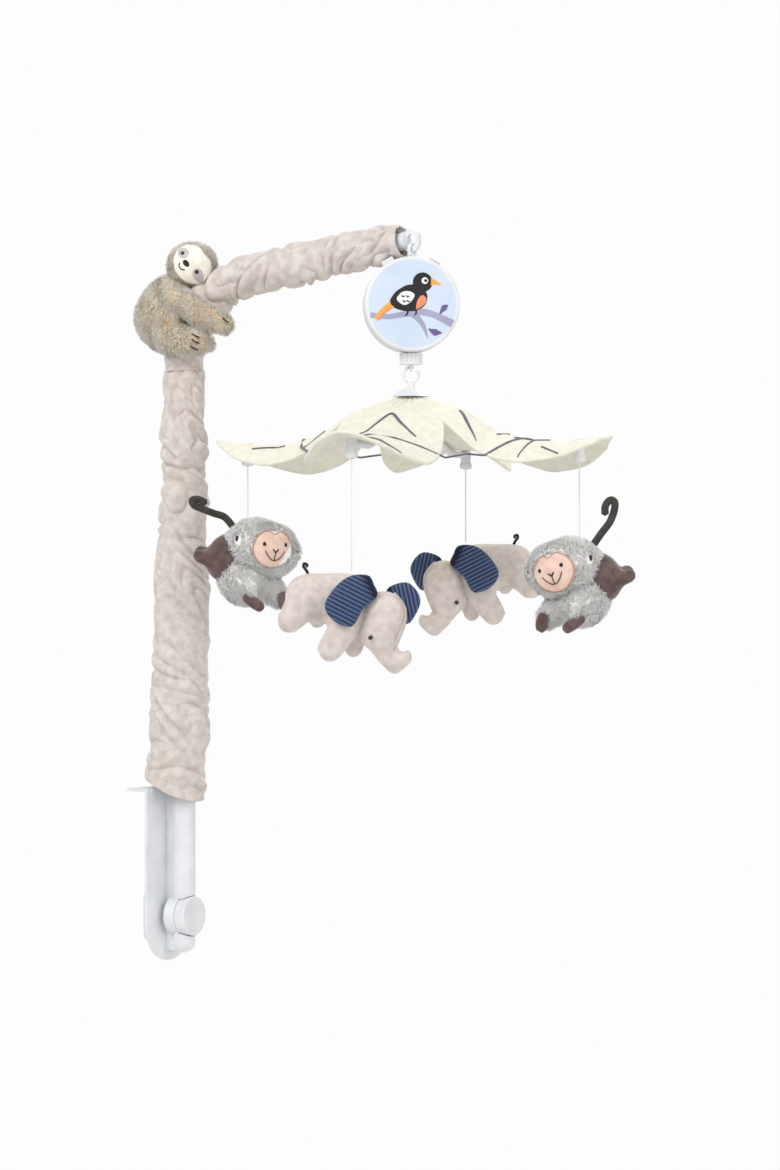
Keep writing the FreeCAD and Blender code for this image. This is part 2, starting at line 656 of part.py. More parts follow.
def drive_cap():
    """Fluted cap on the output shaft with the small closed eye under it."""
    body = cylinder(CAP_RADIUS, (0, 0, CAP_BOTTOM), (0, 0, 1), CAP_TOP - CAP_BOTTOM)
    for flute in range(16):
        angle = 2 * math.pi * flute / 16
        x = (CAP_RADIUS + 0.5) * math.cos(angle)
        y = (CAP_RADIUS + 0.5) * math.sin(angle)
        body = body.cut(cylinder(1.2, (x, y, CAP_BOTTOM + 1.5), (0, 0, 1), CAP_TOP))
    eye = Part.makeTorus(EYE_MEAN, EYE_WIRE, V(0, 0, EYE_Z), V(1, 0, 0))
    eye = eye.cut(block((-20, -20, CAP_BOTTOM + 2), (20, 20, CAP_TOP + 20)))
    hole = cylinder(2.0, (0, 0, CAP_TOP - 6), (0, 0, 1), 20)
    ring_room = cylinder(EYE_MEAN - EYE_WIRE, (-20, 0, EYE_Z), (1, 0, 0), 40)
    return join([body, eye]).cut(hole).cut(ring_room)


# Carousel

def hub_ring():
    """Open ring that clips through the drive's eye, on the hub's stem."""
    turn = 360 - 40
    ring = Part.makeTorus(HOOK_MEAN, HOOK_WIRE, V(0, 0, 0), UP, -180, 180, turn)
    ring.rotate(V(0, 0, 0), UP, 70)
    ring.rotate(V(0, 0, 0), V(1, 0, 0), 90)
    ring.translate(V(0, 0, HOOK_Z))
    stem = cylinder(STEM_RADIUS, (0, 0, HUB_CAP_TOP - 3), (0, 0, 1), HOOK_Z - HOOK_MEAN + 1 - HUB_CAP_TOP + 3)
    return join([ring, stem])


def hub_cap():
    height = HUB_CAP_TOP - HUB_CAP_BOTTOM
    cap = Part.makeCone(HUB_CAP_RADIUS, HUB_CAP_RADIUS - 7, height, V(0, 0, HUB_CAP_BOTTOM), UP)
    return cap.cut(cylinder(STEM_RADIUS, (0, 0, HUB_CAP_TOP - 3), (0, 0, 1), 20))


def spoke_wire():
    points = [V(rho, 0, z) for rho, z in SPOKE_LINE]
    return rounded_wire(points, 40.0)


def spokes():
    """Four bent arms on a hub boss, one solid."""
    arm = pipe(spoke_wire(), SPOKE_RADIUS)
    boss = cylinder(10.0, (0, 0, 345.5), (0, 0, 1), 8.0)
    arms = []
    for angle in SPOKE_ANGLES.values():
        turned = arm.copy()
        turned.rotate(V(0, 0, 0), UP, angle)
        arms.append(turned)
    return join([boss] + arms)


def spoke_caps():
    """A socket on each spoke's end for the ball at the top of the string."""
    caps = []
    for angle in SPOKE_ANGLES.values():
        post = cylinder(4.6, (SPOKE_LENGTH, 0, KNOT_Z + 3), (0, 0, 1), 14.5)
        socket = ball(KNOT_RADIUS + 1.6, (SPOKE_LENGTH, 0, KNOT_Z))
        shape = join([post, socket]).cut(ball(KNOT_RADIUS + SOCKET_GAP, (SPOKE_LENGTH, 0, KNOT_Z)))
        shape = shape.cut(block((100, -20, KNOT_Z - 20), (200, 20, KNOT_Z - 2.6)))
        shape = shape.cut(pipe(spoke_wire(), SPOKE_RADIUS))
        shape.rotate(V(0, 0, 0), UP, angle)
        caps.append(shape)
    return Part.makeCompound(caps)


def leaf_canopy():
    """Four arched leaves that lie over the spokes and meet at the hub."""
    wires = []
    for rho, half, ridge, droop in LEAF_SECTIONS:
        outer = Part.Arc(V(rho, -half, ridge - droop), V(rho, 0, ridge), V(rho, half, ridge - droop)).toShape()
        low = LEAF_THICKNESS
        inner = Part.Arc(V(rho, half, ridge - droop - low), V(rho, 0, ridge - low),
                         V(rho, -half, ridge - droop - low)).toShape()
        right = Part.LineSegment(V(rho, half, ridge - droop), V(rho, half, ridge - droop - low)).toShape()
        left = Part.LineSegment(V(rho, -half, ridge - droop - low), V(rho, -half, ridge - droop)).toShape()
        wires.append(Part.Wire([outer, right, inner, left]))
    leaf = Part.makeLoft(wires, True, True)
    tools = [pipe(spoke_wire(), SPOKE_RADIUS), cylinder(10.0, (0, 0, 340), (0, 0, 1), 30),
             cylinder(4.6, (SPOKE_LENGTH, 0, KNOT_Z + 3), (0, 0, 1), 14.5)]
    for tool in tools:
        leaf = leaf.cut(tool)
    leaf = leaf.cut(hub_cap())
    leaves = []
    for angle in SPOKE_ANGLES.values():
        turned = leaf.copy()
        turned.rotate(V(0, 0, 0), UP, angle)
        leaves.append(turned)
    return Part.makeCompound(leaves)


# Strings and toys

def string_place(name):
    angle = math.radians(SPOKE_ANGLES[name])
    return V(HUB_X + SPOKE_LENGTH * math.cos(angle), SPOKE_LENGTH * math.sin(angle), 0)


def string_knot(name):
    place = string_place(name)
    return ball(KNOT_RADIUS, (place.x, place.y, KNOT_Z))


def string(name):
    place = string_place(name)
    top = KNOT_Z - KNOT_RADIUS - STRING_GAP
    bottom = STRING_ENDS[name] + STRING_GAP
    return cylinder(STRING_RADIUS, (place.x, place.y, bottom), (0, 0, 1), top - bottom)


def plate_ear(centre, normal, radius, thickness):
    """A round flat ear."""
    ear = Part.makeCylinder(radius, thickness, V(*centre), V(*normal))
    return ear.makeFillet(thickness * 0.35, ear.Edges[:1] + ear.Edges[2:])


def elephant():
    """Facing +x with the head turned to -y; the string meets the back at the origin."""
    body = join([
        rod([(-40, 0, -22), (-8, 0, -24.5)], [20.5, 23.5]), rod([(-8, 0, -24.5), (6, -2, -34)], [23.5, 18]),
        rod([(-44, -10, -26), (-53, -13, -40)], [16, 11.5]), rod([(-36, 12, -32), (-33, 13, -43)], [10, 7]),
        rod([(-6, -11, -42), (-21, -13, -62)], [14, 12]), rod([(2, 10, -44), (-2, 12, -62)], [11, 9.5]),
        rod([(-40, 0, -6), (-44, 0, 4)], [2.2, 2.2])])
    head = join([
        rod([(24, -9, -36), (20, -10, -50)], [21, 18.5]),
        rod([(20, -11, -52), (26, -12, -69), (33, -13, -78.5), (42, -13, -73.5)], [17.5, 10.5, 7.2, 6.2])])
    ears = [plate_ear((-4, -29, -24), (0.2, -1, 0.1), 22, 5), plate_ear((38, 5, -26), (0.35, -0.94, 0), 17.5, 5)]
    body = body.cut(head)
    ears = [ear.cut(body).cut(head) for ear in ears]
    return {"body": body, "head": head, "ears": Part.makeCompound([keep_largest(ear) for ear in ears])}


def monkey(tail_points):
    """Facing +x with the head turned to -y; the string meets the head's back at the origin."""
    head = join([rod([(8, -4, -25.5), (22, -6, -29)], [25.3, 24.5]), ball(9.5, (-10, -9, -19)), ball(6.5, (44, -6, -31))])
    body = join([ball(24.5, (-1, 2, -54)), rod([(16, 4, -56), (28, 4, -71)], [12, 10.5])]).cut(head)
    rear = join([
        rod([(-15, 2, -34), (-19, 2, -40)], [21.5, 19]), rod([(-30, -5, -38), (-43, -7, -34)], [8.5, 7.5]),
        rod([(-28, 9, -36), (-42, 9, -30)], [8.5, 7.5])])
    hands = [rod([(2, -24, -72), (12, -23, -79)], [6.5, 6.5]), rod([(32, -3, -71), (34, -4, -78)], [7.5, 7])]
    limbs = Part.makeCompound([keep_largest(s.cut(body).cut(head)) for s in [rear] + hands])
    tail = rod(tail_points, [3.2] * len(tail_points))
    tail = keep_largest(tail.cut(head).cut(body).cut(limbs))
    return {"body": body, "head": head, "limbs": limbs, "tail": tail}


def keep_largest(shape):
    """The biggest solid of a cut shape, so that a stray chip isn't kept."""
    return max(shape.Solids, key=lambda solid: solid.Volume)


def hang(parts, name, heading, mirrored):
    """Puts a toy under its string: balanced on the string's line and turned to its heading."""
    if mirrored:
        parts = {key: shape.mirror(V(0, 0, 0), V(0, 1, 0)) for key, shape in parts.items()}
    placed = {}
    for key, shape in parts.items():
        shape = shape.copy()
        shape.translate(V(*HANG_SHIFTS[name]))
        shape.rotate(V(0, 0, 0), UP, heading)
        shape.translate(string_place(name) + V(0, 0, STRING_ENDS[name]))
        placed[key] = shape
    return placed


def write(name, shape):
    if not shape.isValid():
        print("not valid:", name)
    shape.exportStep("parts/" + name + ".step")


def main():
    os.makedirs("parts", exist_ok=True)
    plain = {"rail_bracket": rail_bracket, "bracket_screws": bracket_screws, "rail_pads": rail_pads,
             "lower_arm": lower_arm, "clamp_knob": clamp_knob, "knob_insert": knob_insert,
             "clamp_jaw": clamp_jaw, "jaw_pad": jaw_pad, "clamp_bolt": bolt_shape,
             "upper_arm": upper_arm, "arm_tip": arm_tip, "sleeve_lower": sleeve_lower,
             "sleeve_upper": sleeve_upper, "sloth_body": sloth_body, "sloth_head": sloth_head,
             "box_loop": stem_loop}
    boxed = {"front_shell": front_shell, "back_shell": back_shell, "picture_disc": picture_disc,
             "battery_door": battery_door, "batteries": batteries, "circuit_board": circuit_board,
             "speaker": speaker, "gear_frame": gear_frame, "motor": motor, "box_screws": box_screws,
             "output_gear": output_gear, "idler_gear": idler_gear, "motor_pinion": motor_pinion,
             "output_shaft": output_shaft, "play_button": play_button, "mode_switch": mode_switch}
    hung = {"drive_cap": (drive_cap, HOOK_TURN), "hub_ring": (hub_ring, HOOK_TURN),
            "hub_cap": (hub_cap, 0), "spokes": (spokes, 0), "spoke_caps": (spoke_caps, 0),
            "leaf_canopy": (leaf_canopy, 0)}
    for name, make in plain.items():
        write(name, make())
    for name, make in boxed.items():
        write(name, box_place(make()))
    for name, (make, angle) in hung.items():
        write(name, hub_place(make(), angle))
    toys = {"left": ("left_monkey", monkey(LEFT_TAIL), 32.4, False),
            "near": ("near_elephant", elephant(), 32.4, False),
            "far": ("far_elephant", elephant(), 212.4, True),
            "right": ("right_monkey", monkey(RIGHT_TAIL), 212.4, True)}
    for name, (toy, parts, heading, mirrored) in toys.items():
        write(name + "_string_knot", string_knot(name))
        write(name + "_string", string(name))
        for key, shape in hang(parts, name, heading, mirrored).items():
            write(toy + "_" + key, shape)


main()
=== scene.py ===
# Crib mobile: a clamp-on bent arm in a gathered sleeve, a round music box, a four-leaf canopy and
# four soft animals on strings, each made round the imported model's nodes.
import math

import bmesh
import bpy
import numpy as np
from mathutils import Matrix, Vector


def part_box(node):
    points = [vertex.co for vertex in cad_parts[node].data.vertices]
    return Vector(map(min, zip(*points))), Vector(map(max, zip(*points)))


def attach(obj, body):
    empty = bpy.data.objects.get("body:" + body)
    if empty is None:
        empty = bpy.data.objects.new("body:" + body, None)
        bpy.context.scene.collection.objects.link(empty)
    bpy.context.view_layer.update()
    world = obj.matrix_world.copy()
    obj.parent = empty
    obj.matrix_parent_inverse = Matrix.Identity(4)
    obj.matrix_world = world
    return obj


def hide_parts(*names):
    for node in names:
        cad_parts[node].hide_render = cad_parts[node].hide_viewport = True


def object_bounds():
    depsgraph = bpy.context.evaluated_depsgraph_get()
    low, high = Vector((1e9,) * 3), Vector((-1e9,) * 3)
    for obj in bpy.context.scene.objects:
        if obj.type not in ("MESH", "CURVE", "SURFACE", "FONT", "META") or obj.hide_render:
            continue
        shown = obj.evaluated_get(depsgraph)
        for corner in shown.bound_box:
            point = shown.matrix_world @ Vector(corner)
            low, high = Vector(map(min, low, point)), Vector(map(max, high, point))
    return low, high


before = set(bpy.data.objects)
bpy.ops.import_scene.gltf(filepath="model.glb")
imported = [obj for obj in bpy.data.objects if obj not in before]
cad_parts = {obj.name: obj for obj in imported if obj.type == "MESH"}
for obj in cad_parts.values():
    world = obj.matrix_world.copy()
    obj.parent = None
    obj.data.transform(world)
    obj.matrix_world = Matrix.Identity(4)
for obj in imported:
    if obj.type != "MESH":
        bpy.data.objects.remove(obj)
cad_box = [[float(v) for v in corner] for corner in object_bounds()]


# ---------------------------------------------------------------------------------------------
# Studio. The mobile hangs in front of plain white paper, lit by a broad soft light above left,
# a weaker one on the right and an even white surround; a pale floor disc lies far below it.

VIEW_AZIMUTH = math.radians(32.4)
CAMERA_DISTANCE = 3.4
CAMERA_HEIGHT = 0.189
CAMERA_OFFSET = -0.0186
CAMERA_LENS = 118.34
FLOOR_DROP = 0.45
FLOOR_RADIUS = 1.1
SURROUND = 0.7

away = np.array([-math.sin(VIEW_AZIMUTH), math.cos(VIEW_AZIMUTH), 0.0])
right = np.array([math.cos(VIEW_AZIMUTH), math.sin(VIEW_AZIMUTH), 0.0])
up = np.array([0.0, 0.0, 1.0])
hub_low, hub_high = (np.array(corner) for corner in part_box("hub_cap"))
hub = (hub_low + hub_high) / 2
hub_axis = np.array([hub[0], hub[1], 0.0])

camera = bpy.data.objects.new("camera", bpy.data.cameras.new("camera"))
bpy.context.collection.objects.link(camera)
camera.data.lens = CAMERA_LENS
camera.data.sensor_width = 36
camera.location = hub_axis + right * CAMERA_OFFSET - away * CAMERA_DISTANCE + up * CAMERA_HEIGHT
camera.rotation_euler = (math.radians(90), 0, VIEW_AZIMUTH)
bpy.context.scene.camera = camera
bpy.context.scene.view_settings.view_transform = "Standard"

world = bpy.data.worlds.new("white_paper")
bpy.context.scene.world = world
world.use_nodes = True
world_tree = world.node_tree
surround = world_tree.nodes["Background"]
surround.inputs["Color"].default_value = (1, 0.995, 0.985, 1)
surround.inputs["Strength"].default_value = SURROUND
paper = world_tree.nodes.new("ShaderNodeBackground")
paper.inputs["Color"].default_value = (1, 1, 1, 1)
paper.inputs["Strength"].default_value = 0.98
seen = world_tree.nodes.new("ShaderNodeLightPath")
pick = world_tree.nodes.new("ShaderNodeMixShader")
world_tree.links.new(seen.outputs["Is Camera Ray"], pick.inputs[0])
world_tree.links.new(surround.outputs[0], pick.inputs[1])
world_tree.links.new(paper.outputs[0], pick.inputs[2])
world_tree.links.new(pick.outputs[0], world_tree.nodes["World Output"].inputs[0])


def soft_light(name, side, height, toward_camera, size, power):
    """A square area light, placed by its distances right of, above and in front of the hub."""
    lamp = bpy.data.objects.new(name, bpy.data.lights.new(name, "AREA"))
    bpy.context.collection.objects.link(lamp)
    lamp.data.size = size
    lamp.data.energy = power
    place = hub_axis + right * side - away * toward_camera + up * height
    lamp.location = place
    aim = hub_axis + up * 0.25 - place
    flat = math.hypot(aim[0], aim[1])
    lamp.rotation_euler = (math.atan2(flat, -aim[2]), 0, math.atan2(aim[1], aim[0]) - math.pi / 2)


soft_light("key_light", -1.3, 1.7, 1.6, 1.2, 30)
soft_light("fill_light", 1.6, 0.7, 1.3, 1.3, 11)
soft_light("back_light", 0.4, 1.6, -1.5, 1.0, 14)


def build(name, points, faces):
    """A smooth mesh object from an array of points in metres and a list of faces."""
    mesh = bpy.data.meshes.new(name)
    mesh.from_pydata(np.asarray(points, float).tolist(), [], faces)
    mesh.shade_smooth()
    piece = bpy.data.objects.new(name, mesh)
    bpy.context.collection.objects.link(piece)
    return piece


def round_angles(count):
    """Evenly spread angles once round, without the last that would meet the first."""
    return np.linspace(0, 2 * math.pi, count, endpoint=False)


def unit(rows):
    """Rows scaled to a length of one."""
    return rows / np.linalg.norm(rows, axis=1)[:, None]


def paint(red, green, blue):
    """Linear colour from the usual 0 to 255 display values."""
    display = np.array([red, green, blue]) / 255
    linear = np.where(display < 0.04045, display / 12.92, ((display + 0.055) / 1.055) ** 2.4)
    return (*linear.tolist(), 1.0)


def new_finish(name, colour, roughness):
    """A material with its principled shader's own colour and roughness set."""
    finish = bpy.data.materials.new(name)
    finish.use_nodes = True
    shader = finish.node_tree.nodes["Principled BSDF"]
    shader.inputs["Base Color"].default_value = colour
    shader.inputs["Roughness"].default_value = roughness
    return finish


def grain(finish, scale, detail=3.0, stretch=(1, 1, 1)):
    """A noise texture on object coordinates, scale in cells per metre."""
    nodes = finish.node_tree.nodes
    place = nodes.new("ShaderNodeTexCoord")
    mapping = nodes.new("ShaderNodeMapping")
    mapping.inputs["Scale"].default_value = stretch
    texture = nodes.new("ShaderNodeTexNoise")
    texture.inputs["Scale"].default_value = scale
    texture.inputs["Detail"].default_value = detail
    finish.node_tree.links.new(place.outputs["Object"], mapping.inputs["Vector"])
    finish.node_tree.links.new(mapping.outputs["Vector"], texture.inputs["Vector"])
    return texture.outputs[0]


def relief(finish, height, strength, distance):
    """Surface relief from a height, added to any relief the material already has."""
    nodes = finish.node_tree.nodes
    normal = nodes["Principled BSDF"].inputs["Normal"]
    bump = nodes.new("ShaderNodeBump")
    bump.inputs["Strength"].default_value = strength
    bump.inputs["Distance"].default_value = distance
    if normal.is_linked:
        finish.node_tree.links.new(normal.links[0].from_socket, bump.inputs["Normal"])
    finish.node_tree.links.new(height, bump.inputs["Height"])
    finish.node_tree.links.new(bump.outputs["Normal"], normal)


floor_angle = round_angles(96)
floor_ring = np.stack([np.cos(floor_angle), np.sin(floor_angle), np.zeros(96)], -1) * FLOOR_RADIUS
floor = build("floor", floor_ring + hub_axis + up * (cad_box[0][2] - FLOOR_DROP), [list(range(96))])
floor_paint = new_finish("floor_paint", paint(238, 238, 236), 0.7)
relief(floor_paint, grain(floor_paint, 60), 0.05, 0.001)
floor.data.materials.append(floor_paint)


# ---------------------------------------------------------------------------------------------
# Strings. Each toy hangs from a leaf tip on a white braided cotton string 1.2 mm thick, tied in a
# knot under the leaf and sewn into the toy's back; its weight holds the string straight.

STRING_DIAMETER = 0.0012
STRING_BODIES = ("left_string", "near_string", "far_string", "right_string")

string_cotton = new_finish("string_cotton", paint(240, 238, 232), 0.85)
braid = string_cotton.node_tree.nodes.new("ShaderNodeTexWave")
braid.inputs["Scale"].default_value = 330
braid.inputs["Distortion"].default_value = 1.5
braid.bands_direction = "DIAGONAL"
braid_place = string_cotton.node_tree.nodes.new("ShaderNodeTexCoord")
string_cotton.node_tree.links.new(braid_place.outputs["Object"], braid.inputs["Vector"])
relief(string_cotton, braid.outputs[0], 0.6, 0.0003)
string_cotton.node_tree.nodes["Principled BSDF"].inputs["Sheen Weight"].default_value = 0.2

for body in STRING_BODIES:
    string_low, string_high = (np.array(corner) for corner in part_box(body))
    middle = (string_low + string_high) / 2
    ends = [np.array([middle[0], middle[1], string_high[2]]), np.array([middle[0], middle[1], string_low[2]])]
    line = bpy.data.curves.new(body + "_cord", "CURVE")
    line.dimensions = "3D"
    line.bevel_depth = STRING_DIAMETER / 2
    line.bevel_resolution = 3
    line.use_fill_caps = True
    spline = line.splines.new("NURBS")
    spline.points.add(2)
    route = np.ones((3, 4))
    route[:, :3] = [ends[0], (ends[0] + ends[1]) / 2, ends[1]]
    spline.points.foreach_set("co", route.ravel())
    spline.order_u = 3
    spline.use_endpoint_u = True
    cord = bpy.data.objects.new(body + "_cord", line)
    bpy.context.collection.objects.link(cord)
    line.materials.append(string_cotton)
    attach(cord, body)
    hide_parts(body)


def dress(finish, *names):
    """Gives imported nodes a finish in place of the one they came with."""
    for name in names:
        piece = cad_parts[name]
        piece.data.materials.clear()
        piece.data.materials.append(finish)


dress(string_cotton, "left_string_knot", "near_string_knot", "far_string_knot", "right_string_knot")


# ---------------------------------------------------------------------------------------------
# Clamp and arm. White injection-moulded ABS with a fine sparked texture and a gloss that varies in patches;
# the jaw's and the plate's pads are grey rubber, the bolt zinc-plated steel, its insert brass.

def tint(finish, factor, dark, light, low=0.35, high=0.65):
    """Base colour that drifts from one colour to another as the factor goes from low to high."""
    nodes = finish.node_tree.nodes
    ramp = nodes.new("ShaderNodeValToRGB")
    ramp.color_ramp.elements[0].position = low
    ramp.color_ramp.elements[0].color = dark
    ramp.color_ramp.elements[1].position = high
    ramp.color_ramp.elements[1].color = light
    finish.node_tree.links.new(factor, ramp.inputs["Fac"])
    finish.node_tree.links.new(ramp.outputs["Color"], nodes["Principled BSDF"].inputs["Base Color"])


def moulded(name, dark, light, roughness, sparkle=0.06):
    """Moulded plastic: a faint drift of colour, spark-eroded grain and a roughness that wanders in patches.
    """
    finish = new_finish(name, light, roughness)
    tint(finish, grain(finish, 40), dark, light)
    nodes = finish.node_tree.nodes
    relief(finish, grain(finish, 2600, 2.0), sparkle, 0.0002)
    wear = nodes.new("ShaderNodeMapRange")
    wear.inputs["To Min"].default_value = roughness - 0.06
    wear.inputs["To Max"].default_value = roughness + 0.08
    finish.node_tree.links.new(grain(finish, 90, 5.0), wear.inputs["Value"])
    finish.node_tree.links.new(wear.outputs[0], nodes["Principled BSDF"].inputs["Roughness"])
    return finish


def metal(name, colour, roughness):
    """Bare metal with fine drawn streaks."""
    finish = new_finish(name, colour, roughness)
    finish.node_tree.nodes["Principled BSDF"].inputs["Metallic"].default_value = 1
    relief(finish, grain(finish, 900, 2.0, (1, 9, 9)), 0.15, 0.0001)
    return finish


white_abs = moulded("white_abs", paint(220, 222, 226), paint(232, 234, 237), 0.36)
grey_abs = moulded("grey_abs", paint(176, 180, 184), paint(190, 193, 197), 0.45)
inner_abs = moulded("inner_abs", paint(206, 204, 198), paint(219, 217, 211), 0.5)
pad_rubber = moulded("pad_rubber", paint(120, 122, 124), paint(140, 141, 143), 0.7, 0.2)
zinc_steel = metal("zinc_steel", paint(190, 192, 195), 0.3)
brass = metal("brass", paint(214, 178, 100), 0.3)
dress(white_abs, "rail_bracket", "lower_arm", "upper_arm", "arm_tip", "clamp_jaw", "clamp_knob")
dress(pad_rubber, "rail_pads", "jaw_pad")
dress(zinc_steel, "clamp_bolt", "bracket_screws")
dress(brass, "knob_insert")


# ---------------------------------------------------------------------------------------------
# Sleeves. Two greige velour tubes, each cut about a third longer than the arm and pushed up on it, so
# the cloth lies in irregular rings of gathers; the lower one hangs over the clamp to a turned hem.

SLEEVE_STATIONS = np.array([[-0.020, 0.0055, 0.029], [0.037, 0.0115, 0.027], [0.083, 0.015, 0.0255],
                            [0.175, 0.016, 0.025], [0.240, 0.0175, 0.0215], [0.290, 0.0185, 0.0195],
                            [0.385, 0.019, 0.018]])
SLEEVE_TOP = 0.385
HEM_MIDDLE = 0.0032
HEM_SLOPE = 0.0125
BEND_CENTRE = np.array([0.105, 0.0, 0.385])
BEND_RADIUS = 0.086
BEND_SWEEP = math.radians(81.95)
SLEEVE_END = 0.2565
SLEEVE_WALL = 0.0012
GATHER_PITCH = 0.021
GATHER_DEPTH = 0.0047


def drift(around, along, seed, pitch, count=9):
    """A smooth random field between about -1 and 1 on a tube: a sum of sines, each going a whole
    number of times around and with a length along of about the pitch."""
    chance = np.random.default_rng(seed)
    turns = chance.integers(0, 4, count)
    waves = chance.uniform(0.5, 1.6, count) * 2 * math.pi / pitch
    start = chance.uniform(0, 2 * math.pi, count)
    field = np.sin(around[..., None] * turns + along[..., None] * waves + start).sum(-1)
    return field / math.sqrt(count / 2) / 1.6


def gathers(around, along, seed, pitch, depth):
    """Height of gathered cloth: round-backed folds across the tube with sharp creases between,
    |sin| of a phase along the tube that wanders with the angle, in two systems that fork where
    one overtakes the other, and finer wrinkles on their backs."""
    wander = 2.1 * drift(around, along, seed, pitch * 5) + 0.5 * drift(around, along, seed + 1, pitch * 1.6)
    first = np.abs(np.sin(math.pi * along / pitch + wander)) ** 0.75
    wander = 2.4 * drift(around, along, seed + 2, pitch * 4)
    second = np.abs(np.sin(math.pi * along / (pitch * 1.37) + around + wander)) ** 0.75
    share = 0.5 + 0.5 * np.tanh(3 * drift(around, along, seed + 3, pitch * 3))
    folds = first * (1 - share) + second * share
    puff = 0.75 + 0.3 * drift(around, along, seed + 4, pitch * 3)
    fine = 0.06 * np.abs(np.sin(math.pi * along / (pitch * 0.31) + 2.5 * wander + 2 * around))
    return depth * (folds * puff * 1.5 - 0.75 + fine * (0.4 + folds))


def grid_faces(rows, columns, wrapped=True):
    """Quads between the neighbours of a grid of points, wrapped round its columns."""
    index = np.arange(rows * columns).reshape(rows, columns)
    if wrapped:
        index = np.concatenate([index, index[:, :1]], 1)
    quads = np.stack([index[:-1, :-1], index[:-1, 1:], index[1:, 1:], index[1:, :-1]], -1)
    return quads.reshape(-1, 4).tolist()


def walled(piece, thickness):
    """Gives a surface a wall inwards."""
    wall = piece.modifiers.new("wall", "SOLIDIFY")
    wall.thickness = thickness
    wall.offset = -1
    wall.use_rim = True
    return piece


def velour(name, dark, light, sheen, pile_scale=1800):
    """Short-pile velour: brushed patches of two tones, a soft sheen and the pile's fine nap."""
    finish = new_finish(name, light, 0.92)
    tint(finish, grain(finish, 130, 6.0), dark, light, 0.38, 0.62)
    relief(finish, grain(finish, pile_scale, 3.0), 0.35, 0.0005)
    relief(finish, grain(finish, 260, 4.0), 0.25, 0.0008)
    shader = finish.node_tree.nodes["Principled BSDF"]
    shader.inputs["Sheen Weight"].default_value = sheen
    shader.inputs["Sheen Roughness"].default_value = 0.45
    shader.inputs["Specular IOR Level"].default_value = 0.2
    return finish


sleeve_velour = velour("sleeve_velour", paint(202, 192, 187), paint(221, 212, 207), 0.35)

sleeve_round, sleeve_share = np.meshgrid(round_angles(168), np.linspace(0, 1, 430))
hem_height = HEM_MIDDLE - HEM_SLOPE * np.cos(sleeve_round)
sleeve_height = hem_height + sleeve_share * (SLEEVE_TOP - hem_height)
sleeve_middle = np.interp(sleeve_height, SLEEVE_STATIONS[:, 0], SLEEVE_STATIONS[:, 1])
sleeve_girth = np.interp(sleeve_height, SLEEVE_STATIONS[:, 0], SLEEVE_STATIONS[:, 2])
hem_near = np.exp(-((sleeve_height - hem_height) / 0.009) ** 2)
calm = (1 - 0.75 * hem_near) * (0.75 + 0.25 * np.sin(sleeve_share * 9 + 1))
sleeve_girth = sleeve_girth + calm * gathers(sleeve_round, sleeve_height, 5, GATHER_PITCH, GATHER_DEPTH)
sleeve_girth -= 0.0007 * np.exp(-(((sleeve_height - hem_height) - 0.010) / 0.0012) ** 2)
lower_points = np.stack([sleeve_middle + sleeve_girth * np.cos(sleeve_round),
                         sleeve_girth * np.sin(sleeve_round), sleeve_height], -1)
lower_cloth = build("lower_sleeve_cloth", lower_points.reshape(-1, 3), grid_faces(*sleeve_round.shape))
walled(lower_cloth, SLEEVE_WALL)
lower_cloth.data.materials.append(sleeve_velour)
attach(lower_cloth, "root")
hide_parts("sleeve_lower")

bend_run = BEND_RADIUS * BEND_SWEEP
bend_end = BEND_CENTRE + BEND_RADIUS * np.array([-math.cos(BEND_SWEEP), 0, math.sin(BEND_SWEEP)])
straight_run = (SLEEVE_END - bend_end[0]) / math.sin(BEND_SWEEP)
upper_round, upper_share = np.meshgrid(round_angles(150), np.linspace(0, 1, 400))
upper_run = upper_share * (bend_run + straight_run)
sweep = np.minimum(upper_run / BEND_RADIUS, BEND_SWEEP)
past = np.maximum(upper_run - bend_run, 0)
run_x = BEND_CENTRE[0] - BEND_RADIUS * np.cos(sweep) + past * math.sin(BEND_SWEEP)
run_z = BEND_CENTRE[2] + BEND_RADIUS * np.sin(sweep) + past * math.cos(BEND_SWEEP)
run_left = bend_run + straight_run - upper_run
upper_girth = 0.014 + 0.004 * np.clip(run_left / 0.062, 0, 1)
drawn_in = np.exp(-(run_left / 0.007) ** 2)
upper_girth = upper_girth + (1 - 0.4 * drawn_in) * gathers(upper_round, upper_run, 21, 0.0215, 0.0040)
upper_girth = np.maximum(upper_girth, 0.0105)
# the section's outward direction is -cos in x and sin in z of the sweep, so angle 0 is the bend's outside
upper_points = np.stack([run_x - upper_girth * np.cos(upper_round) * np.cos(sweep),
                         -upper_girth * np.sin(upper_round),
                         run_z + upper_girth * np.cos(upper_round) * np.sin(sweep)], -1)
upper_cloth = build("upper_sleeve_cloth", upper_points.reshape(-1, 3), grid_faces(*upper_round.shape))
walled(upper_cloth, SLEEVE_WALL)
upper_cloth.data.materials.append(sleeve_velour)
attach(upper_cloth, "root")
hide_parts("sleeve_upper")


# ---------------------------------------------------------------------------------------------
# Sloth. A stuffed doll in wavy tan plush that hugs the bend of the arm: head, trunk, two arms and
# two legs in one sewn skin, with a cream face mask, dark eye patches and stitched nose and claws.

